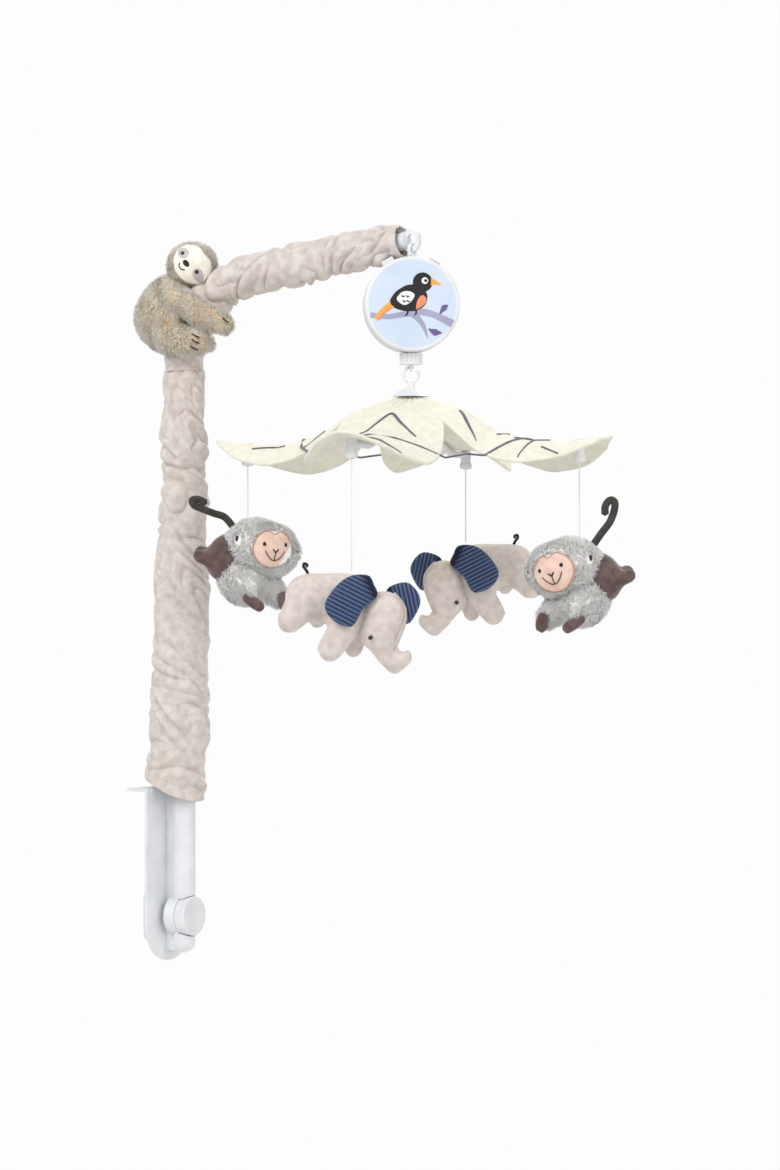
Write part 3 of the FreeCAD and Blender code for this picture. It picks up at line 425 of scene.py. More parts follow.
def rod(start, end, start_radius, end_radius, around=24):
    """Points and faces of a closed tapered capsule: half-round ends of the two radii joined by a
    straight taper, as rings turned about the line from start to end, with a pole point each end."""
    start, end = np.array(start, float), np.array(end, float)
    run = np.linalg.norm(end - start)
    axis = (end - start) / run if run > 1e-9 else up
    side = np.cross(axis, (0.31, 0.87, 0.38))
    side /= np.linalg.norm(side)
    other = np.cross(axis, side)
    lift = np.linspace(-90, 90, 19)[1:-1] * math.pi / 180
    start_lift, end_lift = lift[lift <= 0], lift[lift >= 0]
    height = np.concatenate([start_radius * np.sin(start_lift), run + end_radius * np.sin(end_lift)])
    girth = np.concatenate([start_radius * np.cos(start_lift), end_radius * np.cos(end_lift)])
    angle = round_angles(around)
    rings = (start + height[:, None, None] * axis
             + girth[:, None, None] * (np.cos(angle)[:, None] * side + np.sin(angle)[:, None] * other))
    return closed_tube(rings, start - start_radius * axis, end + end_radius * axis)


def closed_tube(rings, start_pole, end_pole):
    """Points and faces of a tube given as (rings, around, 3), each end closed to its pole."""
    rows, columns = rings.shape[:2]
    points = np.concatenate([rings.reshape(-1, 3), [start_pole, end_pole]])
    first = np.arange(columns)
    after = np.roll(first, -1)
    last = first + (rows - 1) * columns
    last_after = np.roll(last, -1)
    pole = rows * columns
    caps = np.stack([after, first, np.full(columns, pole)], -1).tolist()
    caps += np.stack([last, last_after, np.full(columns, pole + 1)], -1).tolist()
    return points, grid_faces(rows, columns) + caps


def together(shapes):
    """Points and faces of several shapes as one mesh."""
    counts = np.cumsum([0] + [len(points) for points, _ in shapes])
    faces = [[corner + int(start) for corner in face]
             for (_, part), start in zip(shapes, counts) for face in part]
    return np.concatenate([points for points, _ in shapes]), faces


def settle(piece):
    """Points and faces of a piece with its modifiers worked in, and the piece itself thrown away."""
    settled = bpy.data.meshes.new_from_object(piece.evaluated_get(bpy.context.evaluated_depsgraph_get()))
    points = np.empty(len(settled.vertices) * 3)
    settled.vertices.foreach_get("co", points)
    faces = [list(face.vertices) for face in settled.polygons]
    bpy.data.objects.remove(piece)
    return points.reshape(-1, 3), faces


def stuffed(shapes, cell=0.0042, cap=0.0035, pressure=4.0, relax=5):
    """Points and faces of a stuffed skin: the shapes joined into one by a voxel remesh, relaxed,
    blown up from inside as cloth with no point moving further than the cap, then subdivided."""
    pattern = build("pattern", *together(shapes))
    joined = pattern.modifiers.new("joined", "REMESH")
    joined.mode = "VOXEL"
    joined.voxel_size = cell
    eased = pattern.modifiers.new("eased", "SMOOTH")
    eased.factor = 0.5
    eased.iterations = relax
    points, faces = settle(pattern)
    skin = build("skin", points, faces)
    cloth = skin.modifiers.new("cloth", "CLOTH")
    cloth.settings.quality = 5
    cloth.settings.use_pressure = True
    cloth.settings.uniform_pressure_force = pressure
    cloth.settings.effector_weights.gravity = 0
    for step in range(1, 21):
        bpy.context.scene.frame_set(step)
    blown, _ = settle(skin)
    bpy.context.scene.frame_set(1)
    move = blown - points
    points = points + move * np.minimum(1, cap / np.maximum(np.linalg.norm(move, axis=1), 1e-9))[:, None]
    skin = build("skin", points, faces)
    finer = skin.modifiers.new("finer", "SUBSURF")
    finer.levels = finer.render_levels = 1
    return settle(skin)


def pile(points, faces, count, length, width, comb, seed, curl=0.5, bare=None):
    """Points, faces, height shares and soft normals of a plush pile: closed three-sided tufts that start just
    under a surface at random spots spread evenly by area, rise along its normal, lean along the
    comb direction with a slow wave, and end in a point; none grows where bare says so."""
    chance = np.random.default_rng(seed)
    corners = np.array([[face[0], face[k], face[k + 1]] for face in faces for k in range(1, len(face) - 1)])
    triangle = points[corners]
    across = np.cross(triangle[:, 1] - triangle[:, 0], triangle[:, 2] - triangle[:, 0])
    area = np.linalg.norm(across, axis=1)
    if bare is not None:
        open_triangle = ~bare(triangle.mean(1))
        triangle, across, area = triangle[open_triangle], across[open_triangle], area[open_triangle]
    spot = chance.choice(len(area), count, p=area / area.sum())
    first, second = chance.random(count), chance.random(count)
    over = first + second > 1
    first, second = np.where(over, 1 - first, first), np.where(over, 1 - second, second)
    place = (triangle[spot, 0] + first[:, None] * (triangle[spot, 1] - triangle[spot, 0])
             + second[:, None] * (triangle[spot, 2] - triangle[spot, 0]))
    normal = across[spot] / area[spot][:, None]
    wave = np.stack([np.sin(place @ np.array([310, 190, 90])), np.sin(place @ np.array([-120, 260, 210])),
                     np.sin(place @ np.array([170, -230, 280]))], -1)
    lean = np.array(comb) + curl * wave + 0.35 * chance.normal(size=(count, 3))
    lean -= (lean * normal).sum(1)[:, None] * normal
    lean /= np.maximum(np.linalg.norm(lean, axis=1), 0.3)[:, None]
    side = np.cross(normal, lean)
    side /= np.maximum(np.linalg.norm(side, axis=1), 1e-6)[:, None]
    front = np.cross(normal, side)
    reach = length * chance.uniform(0.65, 1.2, count)[:, None]
    rim = np.array([0, 2, 4]) * math.pi / 3
    ring = np.cos(rim)[:, None, None] * side + np.sin(rim)[:, None, None] * front
    low = place - 0.0006 * normal + width * ring
    middle = place + reach * (0.5 * normal + 0.22 * lean) + 0.7 * width * ring
    tip = place + reach * (0.78 * normal + 0.72 * lean)
    tufts = np.concatenate([low, middle, tip[None]]).transpose(1, 0, 2)
    tuft_faces = [[0, 2, 1], [0, 1, 4, 3], [1, 2, 5, 4], [2, 0, 3, 5], [3, 4, 6], [4, 5, 6], [5, 3, 6]]
    bases = (np.arange(count) * 7).tolist()
    pile_faces = [[corner + base for corner in face] for base in bases for face in tuft_faces]
    soft = np.repeat(normal + 0.25 * lean, 7, 0)
    return tufts.reshape(-1, 3), pile_faces, np.tile([0, 0, 0, 0.5, 0.5, 0.5, 1.0], count), soft


def plush(name, root, tip, patches=0.12):
    """Plush pile: the colour runs from root to tip along each tuft by the piece's own tuft
    attribute, drifts in patches, and the fibres carry a soft sheen."""
    finish = new_finish(name, tip, 0.95)
    nodes, links = finish.node_tree.nodes, finish.node_tree.links
    height = nodes.new("ShaderNodeAttribute")
    height.attribute_name = "tuft"
    drifted = nodes.new("ShaderNodeMath")
    drifted.operation = "MULTIPLY_ADD"
    drifted.inputs[1].default_value = patches * 6
    links.new(grain(finish, 55, 3.0), drifted.inputs[0])
    links.new(height.outputs["Fac"], drifted.inputs[2])
    tint(finish, drifted.outputs[0], root, tip, patches * 2, 0.75 + patches * 3)
    relief(finish, grain(finish, 2200, 2.0), 0.3, 0.0003)
    shader = nodes["Principled BSDF"]
    shader.inputs["Sheen Weight"].default_value = 0.5
    shader.inputs["Specular IOR Level"].default_value = 0.15
    shader.inputs["Subsurface Weight"].default_value = 0.35
    shader.inputs["Subsurface Radius"].default_value = (0.004, 0.004, 0.004)
    shader.inputs["Subsurface Scale"].default_value = 1.0
    return finish


def mark(piece, name, values):
    """Gives a piece a value for each of its points."""
    piece.data.attributes.new(name, "FLOAT", "POINT").data.foreach_set("value", values)


def fleece(name, points, faces, share, soft, finish):
    """A finished pile piece: tuft attribute from the height shares, shaded by the soft normals."""
    piece = build(name, points, faces)
    mark(piece, "tuft", share)
    piece.data.normals_split_custom_set_from_vertices(unit(soft).tolist())
    piece.data.materials.append(finish)
    return piece


def furry(name, surface, count, length, width, comb, seed, finish, curl=0.5, bare=None):
    """A pile piece on a surface, with its tuft attribute and its finish."""
    points, faces, share, soft = pile(*surface, count, length, width, comb, seed, curl, bare)
    return fleece(name, points, faces, share, soft, finish)


def facing(turn, roll):
    """Rows u, v and w of a face's frame: w comes out of the face, which looks along -y when the
    turn is 0 and towards +x at 90 degrees, u is to the viewer's right and v up, both rolled."""
    turn, roll = math.radians(turn), math.radians(roll)
    out = np.array([math.sin(turn), -math.cos(turn), 0])
    flat = np.array([math.cos(turn), math.sin(turn), 0])
    return np.array([flat * math.cos(roll) + up * math.sin(roll),
                     up * math.cos(roll) - flat * math.sin(roll), out])


def on_ball(frame_rows, centre, radius, u, v, lift=0.0):
    """Points on a ball over the flat places u, v of its face's frame, lifted off it by lift."""
    flat = np.minimum(np.hypot(u, v), radius * 0.97)
    scale = flat / np.maximum(np.hypot(u, v), 1e-9)
    depth = np.sqrt(radius ** 2 - flat ** 2)
    local = np.stack([u * scale, v * scale, depth], -1) * ((radius + lift) / radius)[..., None]
    return np.array(centre) + local @ frame_rows


def disc_patch(place, outline, rings=14, around=96, thickness=0.0012, crown=0.0008, sink=0.0):
    """Points and faces of a closed, slightly crowned appliqué: the outline function gives u, v for
    an angle, every ring is that outline drawn in towards its middle, and place puts u, v and a lift
    on the base surface; the underside is the same grid below it."""
    angle, share = np.meshgrid(round_angles(around), np.linspace(0.04, 1, rings))
    edge_u, edge_v = outline(angle)
    middle_u, middle_v = edge_u[0].mean(), edge_v[0].mean()
    u = middle_u + share * (edge_u - middle_u)
    v = middle_v + share * (edge_v - middle_v)
    top = place(u, v, thickness + crown * (1 - share ** 4) - 0.45 * thickness * share ** 24)
    below = place(u, v, np.full(u.shape, -sink))
    centre_u, centre_v = np.array([[middle_u]]), np.array([[middle_v]])
    top_pole = place(centre_u, centre_v, np.full((1, 1), thickness + crown))[0, 0]
    low_pole = place(centre_u, centre_v, np.full((1, 1), -sink))[0, 0]
    return closed_tube(np.concatenate([top, below[::-1]]), top_pole, low_pole)


def outward(piece):
    """Turns a closed piece's faces outwards."""
    skin = bmesh.new()
    skin.from_mesh(piece.data)
    bmesh.ops.recalc_face_normals(skin, faces=skin.faces)
    skin.to_mesh(piece.data)
    skin.free()
    return piece


def thread(path, radius, around=8):
    """Points and faces of a closed round thread along an array of points."""
    path = np.asarray(path, float)
    along = unit(np.gradient(path, axis=0))
    side = unit(np.cross(along, (0.36, 0.48, 0.8)))
    other = np.cross(along, side)
    angle = round_angles(around)[None, :, None]
    rings = path[:, None] + radius * (np.cos(angle) * side[:, None] + np.sin(angle) * other[:, None])
    return closed_tube(rings, path[0] - radius * 0.6 * along[0], path[-1] + radius * 0.6 * along[-1])


def curve_through(corners, count):
    """A smooth line of count points through a few corners: each coordinate is a piecewise cubic in
    the corner number, its slopes taken from the neighbours."""
    corners = np.asarray(corners, float)
    slope = np.gradient(corners, axis=0)
    place = np.linspace(0, len(corners) - 1, count)
    low = np.minimum(place.astype(int), len(corners) - 2)
    part = (place - low)[:, None]
    start, end = corners[low], corners[low + 1]
    return (start * (2 * part ** 3 - 3 * part ** 2 + 1) + slope[low] * (part ** 3 - 2 * part ** 2 + part)
            + end * (3 * part ** 2 - 2 * part ** 3) + slope[low + 1] * (part ** 3 - part ** 2))


SLOTH_RODS = ((2, -3, 435, 8, -3, 446, 30.5, 28.5), (22, -22, 453, 56, -30, 437, 13, 12.2),
              (56, -30, 437, 79, -22, 425, 12.2, 10.8), (5, -14, 418, 31, -25, 411, 16, 15.4),
              (31, -25, 411, 54, -27, 409, 15.4, 12.6), (20, 22, 455, 44, 26, 444, 10.5, 9),
              (4, 18, 418, 24, 27, 412, 12.5, 10.5), (10, -3, 452, 24, -6, 468, 22, 15),
              (6, -18, 434, 24, -25, 429, 14, 11))
SLOTH_HEAD = ((31, -9, 481.5, 38, -9, 481.5, 20.5, 20.5),)
SLOTH_FACE = facing(35, -53)
SLOTH_FACE_CENTRE = np.array([0.0345, -0.009, 0.4815])
SLOTH_FACE_BALL = 0.0232
SLOTH_TRIM = 1.4
SLOTH_TUFT_LENGTH = 0.0042
SLOTH_TUFT_WIDTH = 0.00052

sloth_plush = plush("sloth_plush", paint(234, 210, 174), paint(255, 246, 226))
sloth_backing = velour("sloth_backing", paint(206, 178, 140), paint(230, 208, 176), 0.2)
mask_velour = velour("mask_velour", paint(236, 229, 216), paint(250, 246, 238), 0.3)
patch_felt = velour("patch_felt", paint(186, 180, 181), paint(200, 194, 195), 0.2)
bead_black = moulded("bead_black", paint(22, 20, 20), paint(30, 28, 28), 0.18, 0.02)
dark_thread = velour("dark_thread", paint(44, 38, 36), paint(60, 54, 50), 0.1, 4000)


def rods(rows, trim=0.0):
    """Capsules from rows of start, end and two radii in millimetres, trimmed thinner by trim."""
    return [rod(np.array(row[:3]) / 1000, np.array(row[3:6]) / 1000, (row[6] - trim) / 1000,
                (row[7] - trim) / 1000) for row in rows]


def cushioned(name, body, node, finish, shape):
    """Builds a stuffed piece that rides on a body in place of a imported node."""
    piece = build(name, *shape)
    piece.data.materials.append(finish)
    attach(piece, body)
    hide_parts(node)


for part, rows, tufts in (("body", SLOTH_RODS, 15000), ("head", SLOTH_HEAD, 5200)):
    skin = stuffed(rods(rows, SLOTH_TRIM))
    cushioned("sloth_plush_" + part, "root", "sloth_" + part, sloth_backing, skin)
    fur = furry("sloth_pile_" + part, skin, tufts, SLOTH_TUFT_LENGTH, SLOTH_TUFT_WIDTH, (0.3, 0.1, -0.9),
                31 + tufts, sloth_plush, 0.8)
    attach(fur, "root")


def sloth_face(u, v, lift=0.0):
    """Places of the sloth's face, u and v in metres."""
    return on_ball(SLOTH_FACE, SLOTH_FACE_CENTRE, SLOTH_FACE_BALL, u, v, lift + 0.0 * u)


def oval(centre_u, centre_v, wide, tall, lean=0.0, pinch=0.0):
    """Outline of an oval of the half sizes, leaned by degrees and pinched at one end."""
    def outline(angle):
        """The leaned oval at an angle."""
        lean_angle = math.radians(lean)
        flat = wide * np.cos(angle)
        high = tall * np.sin(angle) * (1 + pinch * np.cos(angle))
        return (centre_u + flat * math.cos(lean_angle) - high * math.sin(lean_angle),
                centre_v + flat * math.sin(lean_angle) + high * math.cos(lean_angle))
    return outline


def mask_outline(angle):
    """Outline of the sloth's mask: an oval with a notch on the brow."""
    reach = 1 - 0.13 * np.exp(-((angle - 1.62) / 0.3) ** 2)
    return 0.0008 + 0.0182 * np.cos(angle) * reach, -0.0002 + 0.0158 * np.sin(angle) * reach


def add(name, body, finish, shape):
    """Builds a finished small piece that rides on a body."""
    piece = outward(build(name, *shape))
    piece.data.materials.append(finish)
    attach(piece, body)
    return piece


add("sloth_mask", "root", mask_velour,
    disc_patch(sloth_face, mask_outline, sink=0.003, thickness=0.0016))
add("sloth_eye_patches", "root", patch_felt, together([
    disc_patch(lambda u, v, lift: sloth_face(u, v, lift + 0.0016), oval(*row), sink=0.001, thickness=0.0006)
    for row in ((-0.0110, -0.0008, 0.0052, 0.0046, 0, 0.1), (0.0114, -0.0020, 0.0066, 0.0044, -12, -0.2))]))
add("sloth_eyes", "root", bead_black, together([
    disc_patch(lambda u, v, lift: sloth_face(u, v, lift + 0.0024), oval(middle, -0.0013, 0.0017, 0.0017),
               rings=8, around=24, sink=0.001, thickness=0.0004, crown=0.0011)
    for middle in (-0.0109, 0.0082)]))
add("sloth_nose", "root", dark_thread,
    disc_patch(lambda u, v, lift: sloth_face(u, v, lift + 0.002), oval(-0.0026, -0.0042, 0.0034, 0.0023),
               rings=8, around=32, sink=0.001, thickness=0.0005, crown=0.0011))
smile_turn = np.linspace(math.radians(195), math.radians(345), 26)
add("sloth_smile", "root", dark_thread,
    thread(sloth_face(-0.0026 + 0.0036 * np.cos(smile_turn), -0.0074 + 0.003 * np.sin(smile_turn), 0.0024),
           0.00055))
claw_rows = ((56, -39.5, 416, 62, -37, 413), (56, -40, 411, 62, -37, 407.5),
             (54, -39.5, 405, 60, -36, 401.5), (84, -31, 430, 88, -28, 426))
add("sloth_claws", "root", dark_thread, together([
    thread(curve_through([np.array(row[:3]) / 1000,
                          (np.array(row[:3]) + np.array(row[3:])) / 2000 + [0, -0.0012, 0],
                          np.array(row[3:]) / 1000], 9), 0.0007) for row in claw_rows]))


# ---------------------------------------------------------------------------------------------
# Music box. Two glossy white ABS shells screwed together behind a pale blue laminated disc with a
# made-up perching bird in thin screen-printed inks; the works inside are tan ABS, steel and copper.

BOX_FACING = math.radians(35.9)
INK = 0.00012

box_blue = moulded("laminate_blue", paint(201, 216, 236), paint(210, 223, 240), 0.3, 0.02)
ink_black = moulded("ink_black", paint(26, 24, 26), paint(34, 32, 34), 0.35, 0.02)
ink_white = moulded("ink_white", paint(236, 236, 240), paint(246, 246, 248), 0.35, 0.02)
ink_salmon = moulded("ink_salmon", paint(240, 132, 98), paint(248, 144, 110), 0.35, 0.02)
ink_orange = moulded("ink_orange", paint(238, 162, 60), paint(246, 172, 70), 0.35, 0.02)
ink_purple = moulded("ink_purple", paint(104, 84, 140), paint(116, 96, 152), 0.35, 0.02)
ink_mauve = moulded("ink_mauve", paint(158, 158, 188), paint(168, 168, 196), 0.35, 0.02)
board_green = moulded("board_green", paint(26, 92, 60), paint(34, 108, 70), 0.4, 0.1)
battery_wrap = moulded("battery_wrap", paint(44, 46, 52), paint(58, 60, 66), 0.35, 0.02)
speaker_paper = moulded("speaker_paper", paint(52, 50, 48), paint(66, 63, 60), 0.8, 0.2)
dress(white_abs, "front_shell", "back_shell", "box_loop", "play_button", "battery_door")
dress(grey_abs, "mode_switch")
dress(inner_abs, "gear_frame", "idler_gear", "motor_pinion", "output_gear")
dress(zinc_steel, "box_screws", "output_shaft", "motor")
dress(box_blue, "picture_disc")
dress(board_green, "circuit_board")
dress(battery_wrap, "batteries")
dress(speaker_paper, "speaker")

disc_low, disc_high = (np.array(corner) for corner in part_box("picture_disc"))
disc_middle = (disc_low + disc_high) / 2
box_along = np.array([math.cos(BOX_FACING), math.sin(BOX_FACING), 0.0])
box_out = np.array([math.sin(BOX_FACING), -math.cos(BOX_FACING), 0.0])
disc_reach = (disc_high[2] - disc_low[2]) * math.cos(BOX_FACING)
disc_face = (disc_high[0] - disc_low[0] - disc_reach) / math.sin(BOX_FACING) / 2


def on_disc(u, v, lift=0.0):
    """Places on the picture disc, u to the right and v up from its middle, lifted off its face."""
    off = (disc_face + lift + 0.0 * u)[..., None]
    return disc_middle + u[..., None] * box_along + v[..., None] * up + off * box_out


def closed_outline(corners, around):
    """A smooth closed line through corners, as around points, by the same cubic as curve_through."""
    corners = np.asarray(corners, float)
    wrapped = np.concatenate([corners[-2:], corners, corners[:3]])
    line = curve_through(wrapped, (len(wrapped) - 1) * 40 + 1)
    line = line[80:80 + len(corners) * 40]
    return line[(np.arange(around) * len(line) / around).astype(int)]


def blot(corners, layer):
    """Points and faces of a filled patch of ink through corners in millimetres."""
    line = closed_outline(np.array(corners) / 1000, 96)

    def outline(angle):
        """The patch's outline for each ring."""
        return np.broadcast_to(line[:, 0], angle.shape), np.broadcast_to(line[:, 1], angle.shape)
    return disc_patch(on_disc, outline, rings=6, thickness=INK * layer, crown=0.0, sink=0.0001)


def dot(u, v, radius, layer):
    """Points and faces of a round patch of ink, in millimetres."""
    return disc_patch(on_disc, oval(u / 1000, v / 1000, radius / 1000, radius / 1000), rings=6, around=64,
                      thickness=INK * layer, crown=0.0, sink=0.0001)


def stripe(corners, widths, layer, count=30):
    """Points and faces of a flat strip of ink that follows corners, its half width running
    smoothly through the widths, all in millimetres."""
    line = curve_through(np.array(corners) / 1000, count)
    half = np.interp(np.linspace(0, 1, count), np.linspace(0, 1, len(widths)), widths) / 1000
    along = unit(np.gradient(line, axis=0))
    left = line + half[:, None] * np.stack([-along[:, 1], along[:, 0]], -1)
    far = line - half[:, None] * np.stack([-along[:, 1], along[:, 0]], -1)
    high, low = np.full(count, INK * layer), np.full(count, -0.0001)
    rings = np.stack([on_disc(*left.T, high), on_disc(*far.T, high),
                      on_disc(*far.T, low), on_disc(*left.T, low)], 1)
    return closed_tube(rings, rings[0].mean(0), rings[-1].mean(0))


bird = (
    ("branch", ink_mauve, [stripe(((-37, -10), (-22, -11.4), (-6, -9), (8, -7.2), (20, -10), (35.5, -17.5)),
                                  (2.4, 2.2, 2.6, 3.0, 2.9, 3.4), 1, 60),
                           stripe(((-2, -8), (5, -13), (10, -20), (13.5, -30)), (2.4, 2.5, 1.9, 0.4), 1.2)]),
    ("leaves", ink_purple, [stripe(((14, -22), (20, -25), (26, -25.5)), (0.4, 3.2, 0.4), 1.4),
                            stripe(((24, -9), (28, -3.5), (31.5, -1)), (0.4, 2.8, 0.4), 1.4)]),
    ("tail", ink_orange, [stripe(((-17, 0), (-25, -6), (-32, -13.5)), (3.2, 2.8, 2.2), 2)]),
    ("tail_bar", ink_salmon, [stripe(((-18, -2.6), (-25, -8), (-30.6, -14.2)), (0.7, 1.0, 1.0), 2.6)]),
    ("body", ink_black, [blot(((-20, -0.5), (-16, 9), (-8, 15), (-1, 17), (7, 16), (13, 8), (11, -1),
                               (3, -6), (-9, -6)), 3),
                         dot(9, 19, 8.6, 3),
                         stripe(((-4, -4.6), (-4.4, -8.6), (-6.4, -10.6)), (0.8, 0.7, 0.5), 2.6),
                         stripe(((3, -5), (3.4, -8.0), (1.8, -10)), (0.8, 0.7, 0.5), 2.6)]),
    ("beak", ink_orange, [stripe(((16, 19.5), (20, 18.8), (25.4, 17)), (3.0, 2.1, 0.3), 2.6)]),
    ("breast", ink_salmon, [blot(((9.5, 8), (12.4, 4), (10, -1), (3.4, -4.8), (3.5, 1), (6, 6)), 4)]),
    ("wing", ink_white, [blot(((-14.5, 4), (-9.5, 10.6), (-2, 11.4), (2.6, 7.6), (-1.5, 1), (-8, -1.6)),
                              4)]),
    ("wing_marks", ink_black, [stripe(((x, z), (x + 1.4, z - 1.5), (x + 2.9, z - 0.4)), (0.45, 0.55, 0.4), 5)
                               for x, z in ((-9.6, 7.6), (-5.6, 7.4), (-8.6, 3.2), (-5, 3.2))]),
    ("eye", ink_white, [dot(11, 20.4, 3.2, 4)]),
    ("pupil", ink_black, [dot(11.7, 20.4, 1.6, 5)]),
)
for label, finish, shapes in bird:
    print_piece = add("bird_" + label, "music_box", finish, together(shapes))
    print_piece.data.shade_flat()


# ---------------------------------------------------------------------------------------------
# Drive and hub. The fluted cap on the music box's output, the ring that hangs from it, the hub cap
# and the four spokes under the canopy are all white ABS mouldings, pressed and snapped together.

dress(white_abs, "drive_cap", "hub_ring", "hub_cap", "spokes", "spoke_caps")


# ---------------------------------------------------------------------------------------------
# Canopy. One four-leaf sheet of cream cotton sateen with a thin wadding, cut 0.38 m across, bagged
# out, stretched over the spokes and sewn at the tips; its veins are dark grey satin stitch.

LEAF_TURNS = (193.1, 283.1, 13.1, 103.1)
# rows of degrees off a leaf's axis and millimetres out to the edge
LEAF_REACH = np.array([[0, 182], [8, 174], [15.6, 157], [25, 128], [33.5, 97], [40, 76],
                       [45, 64]]) / [1, 1000]
# rows of distance from the hub, half width, height of the ridge and droop at the half width
LEAF_RIDGE = np.array([[6, 28, 355, 1], [30, 30, 348.5, 6], [50, 46, 342.5, 12], [80, 53, 323, 19],
                       [115, 54, 315, 21], [148, 42, 315, 14], [170, 28, 317, 6],
                       [182, 20, 319, 2]]) / 1000
CANOPY_WALL = 0.0024
CANOPY_HOLE = 0.008
CANOPY_COLUMNS = 480
CANOPY_ROWS = 110
CANOPY_EASING = 6
PUCKER_HEIGHT = 0.0006
PUCKER_PITCH = 0.0008
HEM_RADIUS = 0.0016
HEM_AROUND = 10
VEIN_LIFT = 0.0003
VEIN_HALF_HEIGHT = 0.0009
# each vein's places as distance from the hub, turn in degrees and half width; turns are joined as
# they stand, so the fourth vein, from 1 to 352, goes the long way round the hub
VEINS = (((102, 268, 0.5), (70, 277, 1.1), (57, 285, 1.6), (69, 295, 1.5), (84, 305, 0.9)),
         ((142, 279, 0.5), (126, 284, 1.4), (124, 289, 1.6), (138, 293, 1.4), (153, 299, 0.6)),
         ((52, 358, 1.7), (68, 348, 1.5), (88, 342, 0.4)), ((88, 1, 1.7), (105, 352, 1.5), (126, 349, 0.6)),
         ((102, 4, 0.4), (114, 10, 1.0), (128, 14, 0.4)), ((135, 359, 1.2), (143, 358, 1.0), (155, 357, 0.4)),
         ((142, 206, 0.4), (128, 206, 0.9), (112, 208, 0.5)),
         ((98, 222, 0.4), (88, 219, 1.1), (76, 214, 0.6)),
         ((84, 93, 0.6), (60, 104, 1.6), (82, 116, 0.5)), ((140, 96, 0.6), (122, 104, 1.5), (144, 110, 0.5)))


def canopy_height(rho, turn):
    """Height of the sheet at a distance and a turn in degrees from the hub: along each leaf's axis
    a ridge line, from which it droops with the square of the place across the leaf's width; slow
    waves lift and drop the loose edges, and short puckers gather towards the hem."""
    off = (turn - LEAF_TURNS[0] + 45) % 90 - 45
    x = rho * np.cos(np.radians(off))
    y = rho * np.sin(np.radians(off))
    ridge = np.interp(x, LEAF_RIDGE[:, 0], LEAF_RIDGE[:, 2])
    droop = np.interp(x, LEAF_RIDGE[:, 0], LEAF_RIDGE[:, 3])
    wide = np.interp(x, LEAF_RIDGE[:, 0], LEAF_RIDGE[:, 1])
    slump = droop * np.minimum((y / wide) ** 2, 1.45)
    outer = np.clip((rho - 0.03) / 0.12, 0, 1)
    wave = 0.0030 * outer * np.sin(np.radians(3 * turn + 40) + 14 * rho) * np.clip(np.abs(y) / 0.03, 0, 1)
    tuck = 0.0014 * np.exp(-((rho - 0.028) / 0.018) ** 2) * np.sin(np.radians(turn) * 22)
    return ridge - slump + wave + tuck


canopy_turn, canopy_share = np.meshgrid(np.linspace(0, 360, CANOPY_COLUMNS + 1)[:-1],
                                        np.linspace(0, 1, CANOPY_ROWS))
from_axis = np.abs((canopy_turn - LEAF_TURNS[0] + 45) % 90 - 45)
canopy_reach = np.interp(from_axis, LEAF_REACH[:, 0], LEAF_REACH[:, 1])
canopy_reach = (canopy_reach - 0.004 * np.exp(-((from_axis - 45) / 4) ** 2)
                + 0.002 * np.exp(-(from_axis / 3) ** 2))
canopy_rho = CANOPY_HOLE + canopy_share * (canopy_reach - CANOPY_HOLE)
pucker = PUCKER_HEIGHT * canopy_share ** 6 * np.sin(canopy_turn * canopy_reach / PUCKER_PITCH)
canopy_rise = canopy_height(canopy_rho, canopy_turn) + pucker
for _ in range(CANOPY_EASING):
    canopy_rise = (canopy_rise + 0.5 * np.roll(canopy_rise, 1, 1) + 0.5 * np.roll(canopy_rise, -1, 1)) / 2
canopy_grid = np.stack([hub[0] + canopy_rho * np.cos(np.radians(canopy_turn)),
                        hub[1] + canopy_rho * np.sin(np.radians(canopy_turn)), canopy_rise], -1)


def on_canopy(rho, turn, lift):
    """Places on the sheet's upper side at a distance and a turn from the hub."""
    return np.stack([hub[0] + rho * np.cos(np.radians(turn)), hub[1] + rho * np.sin(np.radians(turn)),
                     canopy_height(rho, turn) + lift], -1)


sateen = velour("cream_sateen", paint(228, 224, 208), paint(236, 233, 219), 0.12, 2400)
weave = sateen.node_tree.nodes.new("ShaderNodeTexWave")
weave.inputs["Scale"].default_value = 420
weave_place = sateen.node_tree.nodes.new("ShaderNodeTexCoord")
sateen.node_tree.links.new(weave_place.outputs["Object"], weave.inputs["Vector"])
relief(sateen, weave.outputs[0], 0.2, 0.0002)
vein_thread = velour("vein_thread", paint(92, 90, 100), paint(112, 110, 122), 0.25, 5000)

canopy = build("canopy_sheet", canopy_grid.reshape(-1, 3),
               [quad[::-1] for quad in grid_faces(*canopy_turn.shape)])
walled(canopy, CANOPY_WALL)
canopy.data.materials.append(sateen)
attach(canopy, "carousel")
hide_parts("leaf_canopy")
edge = canopy_grid[-1] - [0, 0, CANOPY_WALL / 2]
hem_along = unit(np.roll(edge, -1, 0) - np.roll(edge, 1, 0))
hem_side = unit(np.cross(hem_along, up))
hem_turn = round_angles(HEM_AROUND)[None, :, None]
hem_across = np.cross(hem_side, hem_along)
hem_rings = edge[:, None] + HEM_RADIUS * (np.cos(hem_turn) * hem_side[:, None]
                                          + np.sin(hem_turn) * hem_across[:, None])
hem_index = np.arange(CANOPY_COLUMNS * HEM_AROUND).reshape(CANOPY_COLUMNS, HEM_AROUND)
hem_next = np.roll(hem_index, -1, 0)
hem_quads = np.stack([hem_index, np.roll(hem_index, -1, 1), np.roll(hem_next, -1, 1), hem_next], -1)
hem = add("canopy_hem", "carousel", sateen,
          (hem_rings.reshape(-1, 3), hem_quads.reshape(-1, 4).tolist()))
